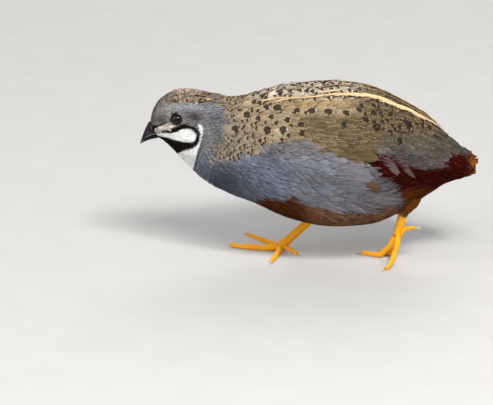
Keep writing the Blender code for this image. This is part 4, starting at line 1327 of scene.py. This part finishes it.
def shank_scutes(away, place, ahead):
    """Plates round the shank, in columns that are shifted against each other."""
    front = unit(np.cross(np.cross(ahead, (-1.0, 0.0, 0.0)), ahead))
    angle = np.arctan2(away @ np.cross(ahead, front), away @ front) / SCUTE_ANGLE
    row = place / SHANK_SCUTE + 0.5 * (np.floor(angle) % 2)
    edge = np.maximum(np.abs(row % 1 - 0.5) * 2, np.abs(angle % 1 - 0.5) * 2)
    return 1 - smooth_step(0.72, 1.0, edge)


def toe_scutes(spots, place, top):
    """Plates across the top of a toe and grains beneath it."""
    plates = 1 - smooth_step(0.6, 1.0, np.abs(place / TOE_SCUTE % 1 - 0.5) * 2)
    grains = np.prod(np.sin(spots * 9), -1)
    return plates * top + (0.5 + 0.5 * grains) * (1 - top)


def claws(name, foot, material):
    """The claws' solids, rounded off."""
    for digit in foot["toes"]:
        node = f"{name}_{digit}_toe_claw"
        weld = ("WELD", {"merge_threshold": 0.02 * MM})
        round_off = ("SUBSURF", {"levels": 2, "render_levels": 2})
        mesh = changed(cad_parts[node].data.copy(), weld, round_off)
        mesh.shade_smooth()
        placed(node + "_horn", mesh, material, [node])


def thigh_feathers(name, foot, material):
    """The feathered thigh down to the heel, in rows that are set between each other."""
    rng = np.random.default_rng(31)
    thigh = Thigh(foot)
    share, turn = np.meshgrid(np.linspace(0.35, 1.15, 8), circle(15, -math.pi), indexing="ij")
    turn = turn + (np.arange(8) % 2)[:, None] * math.pi / 15
    share = (share + rng.normal(0, 0.015, share.shape)).ravel()
    turn = (turn + rng.normal(0, 0.05, turn.shape)).ravel()
    heading = np.broadcast_to(-thigh.axis + np.array((0.15, 0, 0)), (len(turn), 3))
    size = 0.6 + 0.4 * share
    batch = lay_feathers(
        thigh, share, turn, heading, 5.2 * size, 2.6 * size, BODY_FORM, (-0.8, 0.1), rng, loose=0.12
    )
    feather_piece(name + "_thigh_feathers", batch, material)


# Materials

PATTERN_OUTPUTS = {"Color": ("Color", None), "Height": ("Float", None)}


def group(name, inputs, outputs):
    """An empty shader group with the named sockets, and its input and output nodes."""
    made = bpy.data.node_groups.new(name, "ShaderNodeTree")
    for kind, way, sockets in (("INPUT", "In", inputs), ("OUTPUT", "Out", outputs)):
        for socket, (sort, value) in sockets.items():
            new = made.interface.new_socket(socket, in_out=kind, socket_type="NodeSocket" + sort)
            if value is not None and kind == "INPUT":
                new.default_value = value
    return made, made.nodes.new("NodeGroupInput"), made.nodes.new("NodeGroupOutput")


class Wiring:
    """Short ways to add nodes to a shader tree."""

    def __init__(self, tree):
        self.tree = tree

    def node(self, kind, *values, **settings):
        """A node with its first inputs and its settings given."""
        made = self.tree.nodes.new("ShaderNode" + kind)
        for setting, value in settings.items():
            setattr(made, setting, value)
        for socket, value in zip(made.inputs, values):
            self.link(value, socket)
        return made

    def link(self, source, target):
        if hasattr(source, "is_output"):
            self.tree.links.new(source, target)
        elif source is not None:
            target.default_value = source

    def math(self, operation, *values, clamp=False):
        return self.node("Math", *values, operation=operation, use_clamp=clamp).outputs[0]

    def times(self, a, b):
        return self.math("MULTIPLY", a, b)

    def times_plus(self, a, b, c, clamp=False):
        return self.math("MULTIPLY_ADD", a, b, c, clamp=clamp)

    def ramp(self, value, low, high, to_low=0.0, to_high=1.0):
        values = value, low, high, to_low, to_high
        return self.node("MapRange", *values, interpolation_type="SMOOTHSTEP").outputs["Result"]

    def mix(self, share, a, b):
        made = self.node("Mix", share, data_type="RGBA")
        self.link(a, made.inputs[6])
        self.link(b, made.inputs[7])
        return made.outputs[2]

    def noise(self, vector, scale, detail=2.0):
        made = self.node("TexNoise", vector)
        self.link(scale, made.inputs["Scale"])
        self.link(detail, made.inputs["Detail"])
        return made.outputs["Fac"]

    def attribute(self, name):
        return self.node("Attribute", attribute_type="GEOMETRY", attribute_name=name)

    def grain(self, scale, detail=3.0, dark=(0, 0, 0, 1), light=(1, 1, 1, 1)):
        """The colour and the height of the grain group, placed in the material with these values."""
        spots = self.node("TexCoord").outputs["Object"]
        shared = bpy.data.node_groups["grain"]
        return self.node("Group", spots, scale, detail, dark, light, node_tree=shared).outputs


class Finish(Wiring):
    """A new material, with the constants of its shader's own sockets."""

    def __init__(self, name, roughness, **values):
        self.material = bpy.data.materials.new(name)
        self.material.use_nodes = True
        super().__init__(self.material.node_tree)
        self.shader = self.tree.nodes["Principled BSDF"]
        self.shader.inputs["Roughness"].default_value = roughness
        for socket, value in values.items():
            self.shader.inputs[socket.replace("_", " ")].default_value = value

    def made(self, colour, height=None, depth=0.0, strength=0.0):
        """The material with its colour, and with a bump of a depth in millimetres."""
        self.link(colour, self.shader.inputs["Base Color"])
        if height is not None:
            bump = self.node("Bump")
            bump.inputs["Strength"].default_value = strength
            bump.inputs["Distance"].default_value = depth * MM
            self.link(height, bump.inputs["Height"])
            self.link(bump.outputs[0], self.shader.inputs["Normal"])
        return self.material


def grain_group():
    """Fine clouds from a dark to a light colour, and their height."""
    sockets = {"Position": ("Vector", None), "Scale": ("Float", 1000.0), "Detail": ("Float", 3.0)}
    sockets.update({"Dark": ("Color", (0, 0, 0, 1)), "Light": ("Color", (1, 1, 1, 1))})
    tree, given, made = group("grain", sockets, PATTERN_OUTPUTS)
    spots, scale, detail, dark, light = (given.outputs[name] for name in sockets)
    w = Wiring(tree)
    clouds = w.noise(spots, scale, detail)
    w.link(w.mix(clouds, dark, light), made.inputs["Color"])
    w.link(clouds, made.inputs["Height"])


def feather_group():
    """Shaft, barbs, blotch, bars, streak and fringe of a feather, from its own map."""
    sockets = {"Ground": ("Color", (0.2, 0.2, 0.2, 1)), "Edging": ("Color", (0.3, 0.3, 0.3, 1))}
    sockets["Vane"] = ("Vector", None)
    for name in ("Blotch", "Streak", "Bars", "Fringe", "Shade", "Length"):
        sockets[name] = ("Float", 0.5)
    tree, given, made = group("feather pattern", sockets, PATTERN_OUTPUTS)
    ground, edging, vane, blotched, streaked, barred, fringed, seed, length = (
        given.outputs[name] for name in sockets
    )
    w = Wiring(tree)

    # Where on the feather: across from the shaft, along from the root, and in noise of its own
    split = w.node("SeparateXYZ", vane)
    place = split.outputs["Y"]
    side = w.times_plus(split.outputs["X"], 2.0, -1.0)
    away = w.math("ABSOLUTE", side)
    far = w.times(place, length)
    shifted = w.times_plus(seed, 37.0, split.outputs["X"])
    shifted = w.node("CombineXYZ", shifted, w.times(far, 2.6), seed).outputs[0]
    fine = w.noise(shifted, 11.0)
    wobble = w.math("SUBTRACT", w.noise(shifted, 3.2), 0.5)

    # Barbs that slant from the shaft, and the feather's own tone
    slant = w.times_plus(away, -5.5, w.times(far, 42.0))
    barb = w.math("SINE", w.times_plus(fine, 5.0, w.times(slant, 2 * math.pi)))
    colour = w.mix(w.times_plus(barb, 0.06, 0.10), ground, (0, 0, 0, 1))
    tone = w.times(w.ramp(seed, 0.0, 1.0, 0.88, 1.13), w.ramp(fine, 0.3, 0.7, 0.82, 1.18))
    toned = w.node("VectorMath", colour, operation="SCALE")
    w.link(tone, toned.inputs["Scale"])
    colour = toned.outputs[0]

    # Broken cross bars, then the fringe at the tip and the sides
    ripple = w.times_plus(away, 3.0, w.times(wobble, 26.0))
    wave = w.math("SINE", w.times_plus(far, 50.0, ripple))
    broken = w.times(w.ramp(wave, -0.1, 0.6), w.ramp(fine, 0.38, 0.56))
    dark = (0.024, 0.017, 0.012, 1)
    colour = w.mix(w.times(broken, barred), colour, dark)
    sides = w.times(w.ramp(away, 0.75, 1.0), w.ramp(place, 0.4, 0.75))
    edge = w.math("MAXIMUM", w.ramp(place, 0.88, 1.0), sides)
    colour = w.mix(w.times(edge, fringed), colour, edging)

    # A blunt black triangle near the tip, on the feathers that chance picks
    size = w.times_plus(blotched, 0.35, 0.75)
    from_tip = w.math("ADD", place, w.times_plus(wobble, 0.14, -0.93))
    down = w.math("DIVIDE", from_tip, w.times(size, 0.27))
    half = w.times(w.times_plus(down, 0.70, 0.88), size)
    across = w.math("ABSOLUTE", w.times_plus(wobble, 0.7, w.math("SUBTRACT", side, 0.1)))
    ends = w.math("ABSOLUTE", w.times_plus(down, 2.0, 1.0))
    blot = w.math("MAXIMUM", w.math("DIVIDE", across, half), ends)
    picked = w.math("ADD", blotched, w.times_plus(seed, 0.8, -0.4))
    blotch = w.times(w.ramp(blot, 1.08, 0.86), w.ramp(picked, 0.42, 0.5))
    colour = w.mix(w.times(blotch, 0.93), colour, dark)

    # The pale shaft, wider in a streak and hidden by a blotch
    wide = w.times_plus(streaked, w.times_plus(wobble, 0.42, 0.20), 0.035)
    shaft = w.ramp(away, w.times(wide, 1.3), w.times(wide, 0.7))
    shine = w.times(shaft, w.times_plus(streaked, 1.4, 0.10, clamp=True))
    shine = w.times(shine, w.times_plus(blotch, -0.9, 1.0))
    w.link(w.mix(shine, colour, (0.80, 0.57, 0.31, 1)), made.inputs["Color"])
    w.link(w.times_plus(barb, 0.35, w.times(shaft, 1.2)), made.inputs["Height"])
    return tree


def feather_material(pattern_group):
    w = Finish("feathers", 0.75, Specular_IOR_Level=0.02)
    feather = w.node("Group", node_tree=pattern_group)
    ground, edging, pattern = (w.attribute(name) for name in ("ground", "edging", "pattern"))
    split = w.node("SeparateColor", pattern.outputs["Color"])
    for socket, source in (
        ("Ground", ground.outputs["Color"]),
        ("Shade", ground.outputs["Alpha"]),
        ("Edging", edging.outputs["Color"]),
        ("Fringe", edging.outputs["Alpha"]),
        ("Vane", w.node("UVMap", uv_map="Vane").outputs[0]),
        ("Blotch", split.outputs[0]),
        ("Streak", split.outputs[1]),
        ("Bars", split.outputs[2]),
        ("Length", pattern.outputs["Alpha"]),
    ):
        w.link(source, feather.inputs[socket])
    return w.made(feather.outputs["Color"], feather.outputs["Height"], 0.05, 0.5)


def skin_material():
    w = Finish("skin", 0.8)
    _, grain = w.grain(900.0)
    pores = w.ramp(grain, 0.3, 0.7, 0.0, 0.4)
    colour = w.mix(pores, w.attribute("ground").outputs["Color"], (0.01, 0.01, 0.012, 1))
    return w.made(colour, grain, 0.3, 0.6)


def eye_material():
    w = Finish("eye", 0.04, Specular_IOR_Level=0.24)
    rim = w.attribute("rim").outputs["Fac"]
    iris, _ = w.grain(2600.0, 3.0, (0.006, 0.003, 0.002, 1), (0.018, 0.007, 0.004, 1))
    pupil = w.ramp(rim, PUPIL_RADIUS - 0.12, PUPIL_RADIUS + 0.05)
    colour = w.mix(pupil, (0.002, 0.002, 0.002, 1), iris)
    ring = w.ramp(rim, EYE_OPENING - 0.25, EYE_OPENING)
    return w.made(w.mix(ring, colour, (0.004, 0.003, 0.003, 1)))


def lid_material():
    w = Finish("lids", 0.55)
    colour, grain = w.grain(3000.0, 4.0, (0.006, 0.005, 0.005, 1), (0.040, 0.036, 0.036, 1))
    return w.made(colour, grain, 0.08, 0.7)


def bill_material():
    w = Finish("bill horn", 0.28, Specular_IOR_Level=0.16)
    clouds = w.ramp(w.grain(700.0)[1], 0.3, 0.7, -0.08, 0.08)
    tone = w.math("ADD", w.attribute("tone").outputs["Fac"], clouds)
    colour = w.mix(w.ramp(tone, 0.0, 0.35), (0.009, 0.004, 0.004, 1), (0.020, 0.018, 0.023, 1))
    # The pale end of the tone is the painted highlight along the upper cutting edge
    colour = w.mix(w.ramp(tone, 0.4, 1.0), colour, (0.26, 0.27, 0.30, 1))
    return w.made(colour, w.grain(1500.0, 4.0)[1], 0.05, 0.3)


def leg_material():
    w = Finish(
        "leg skin", 0.45, Specular_IOR_Level=0.2,
        Subsurface_Weight=0.12, Subsurface_Radius=(1.0, 0.45, 0.15), Subsurface_Scale=0.5 * MM,
    )
    colour, _ = w.grain(260.0, 3.0, (0.97, 0.34, 0.002, 1), (1.0, 0.52, 0.026, 1))
    # Deeper orange in the grooves between the scutes: partly the skin's own darker grooves, partly
    # painted shade
    grooves_and_shade = w.ramp(w.attribute("scute").outputs["Fac"], 0.55, 0.0, 0.0, 0.75)
    colour = w.mix(grooves_and_shade, colour, (0.52, 0.14, 0.002, 1))
    return w.made(colour, w.grain(2200.0, 4.0)[1], 0.05, 0.5)


def claw_material():
    w = Finish("claw horn", 0.36, Coat_Weight=0.2, Coat_Roughness=0.25)
    colour, grain = w.grain(1800.0, 3.0, (0.42, 0.33, 0.25, 1), (0.70, 0.60, 0.48, 1))
    return w.made(colour, grain, 0.04, 0.4)


def floor_material():
    w = Finish("floor", 0.8)
    return w.made(w.grain(60.0, 4.0, (0.53, 0.52, 0.50, 1), (0.58, 0.57, 0.55, 1))[0])


# Studio


def studio():
    """A pale floor, soft light from all round, and lamps as name, place, size and power in watts."""
    bpy.ops.mesh.primitive_plane_add(size=FLOOR_WIDTH * MM)
    floor = bpy.context.object
    floor.name = "studio_floor"
    floor.data.materials.append(floor_material())
    world = bpy.data.worlds.new("soft light")
    world.use_nodes = True
    glow = world.node_tree.nodes["Background"]
    glow.inputs["Color"].default_value = (0.95, 0.97, 1.0, 1)
    glow.inputs["Strength"].default_value = 0.39
    bpy.context.scene.world = world
    for name, place, size, power in (
        ("key", (150, -850, 1000), 420, 11.3),
        ("fill", (-950, -500, 600), 900, 5.4),
        ("rear", (200, 1000, 900), 800, 6.4),
        ("spark", (270, -590, 760), 130, 3.6),
    ):
        light = bpy.data.lights.new(name, "AREA")
        light.size = size * MM
        light.energy = power
        lamp = bpy.data.objects.new(name, light)
        lamp.location = Vector(place) * MM
        towards = Vector((0, 0, 30)) * MM - lamp.location
        lamp.rotation_euler = towards.to_track_quat("-Z", "Y").to_euler()
        bpy.context.scene.collection.objects.link(lamp)


def camera():
    """The camera at the photograph's angle."""
    tilt = math.radians(VIEW_DEGREES)
    made = bpy.data.cameras.new("camera")
    made.sensor_width = 36.0
    made.lens = made.sensor_width * CAMERA_DISTANCE / VIEW_WIDTH
    made.clip_end = 50.0
    holder = bpy.data.objects.new("camera", made)
    aim = Vector(AIM)
    holder.location = (aim + Vector((0, -math.cos(tilt), math.sin(tilt))) * CAMERA_DISTANCE) * MM
    holder.rotation_euler = (math.pi / 2 - tilt, 0, 0)
    bpy.context.scene.collection.objects.link(holder)
    bpy.context.scene.camera = holder
    bpy.context.scene.view_settings.view_transform = "Standard"


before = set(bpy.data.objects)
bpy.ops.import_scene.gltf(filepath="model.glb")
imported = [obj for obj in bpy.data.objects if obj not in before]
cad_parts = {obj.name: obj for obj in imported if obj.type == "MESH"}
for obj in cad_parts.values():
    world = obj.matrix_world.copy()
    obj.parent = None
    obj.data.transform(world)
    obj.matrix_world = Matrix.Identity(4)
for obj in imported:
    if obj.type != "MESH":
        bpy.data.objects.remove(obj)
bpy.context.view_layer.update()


def main():
    plumage = Plumage(PLUMED)
    grain_group()
    feathers = feather_material(feather_group())
    skin(plumage, skin_material())
    coat(plumage, feathers)
    strands(plumage, feathers)
    wings(plumage, feathers)
    shoulder_streaks(plumage, feathers)
    flank_plumes(plumage, feathers)
    tail(plumage, feathers)
    eyes(eye_material(), lid_material())
    bill(bill_material())
    legs, horn = leg_material(), claw_material()
    for side, name in SIDES.items():
        leg_skin(name, FEET[side], legs)
        claws(name, FEET[side], horn)
        thigh_feathers(name, FEET[side], feathers)
    studio()
    camera()


main()
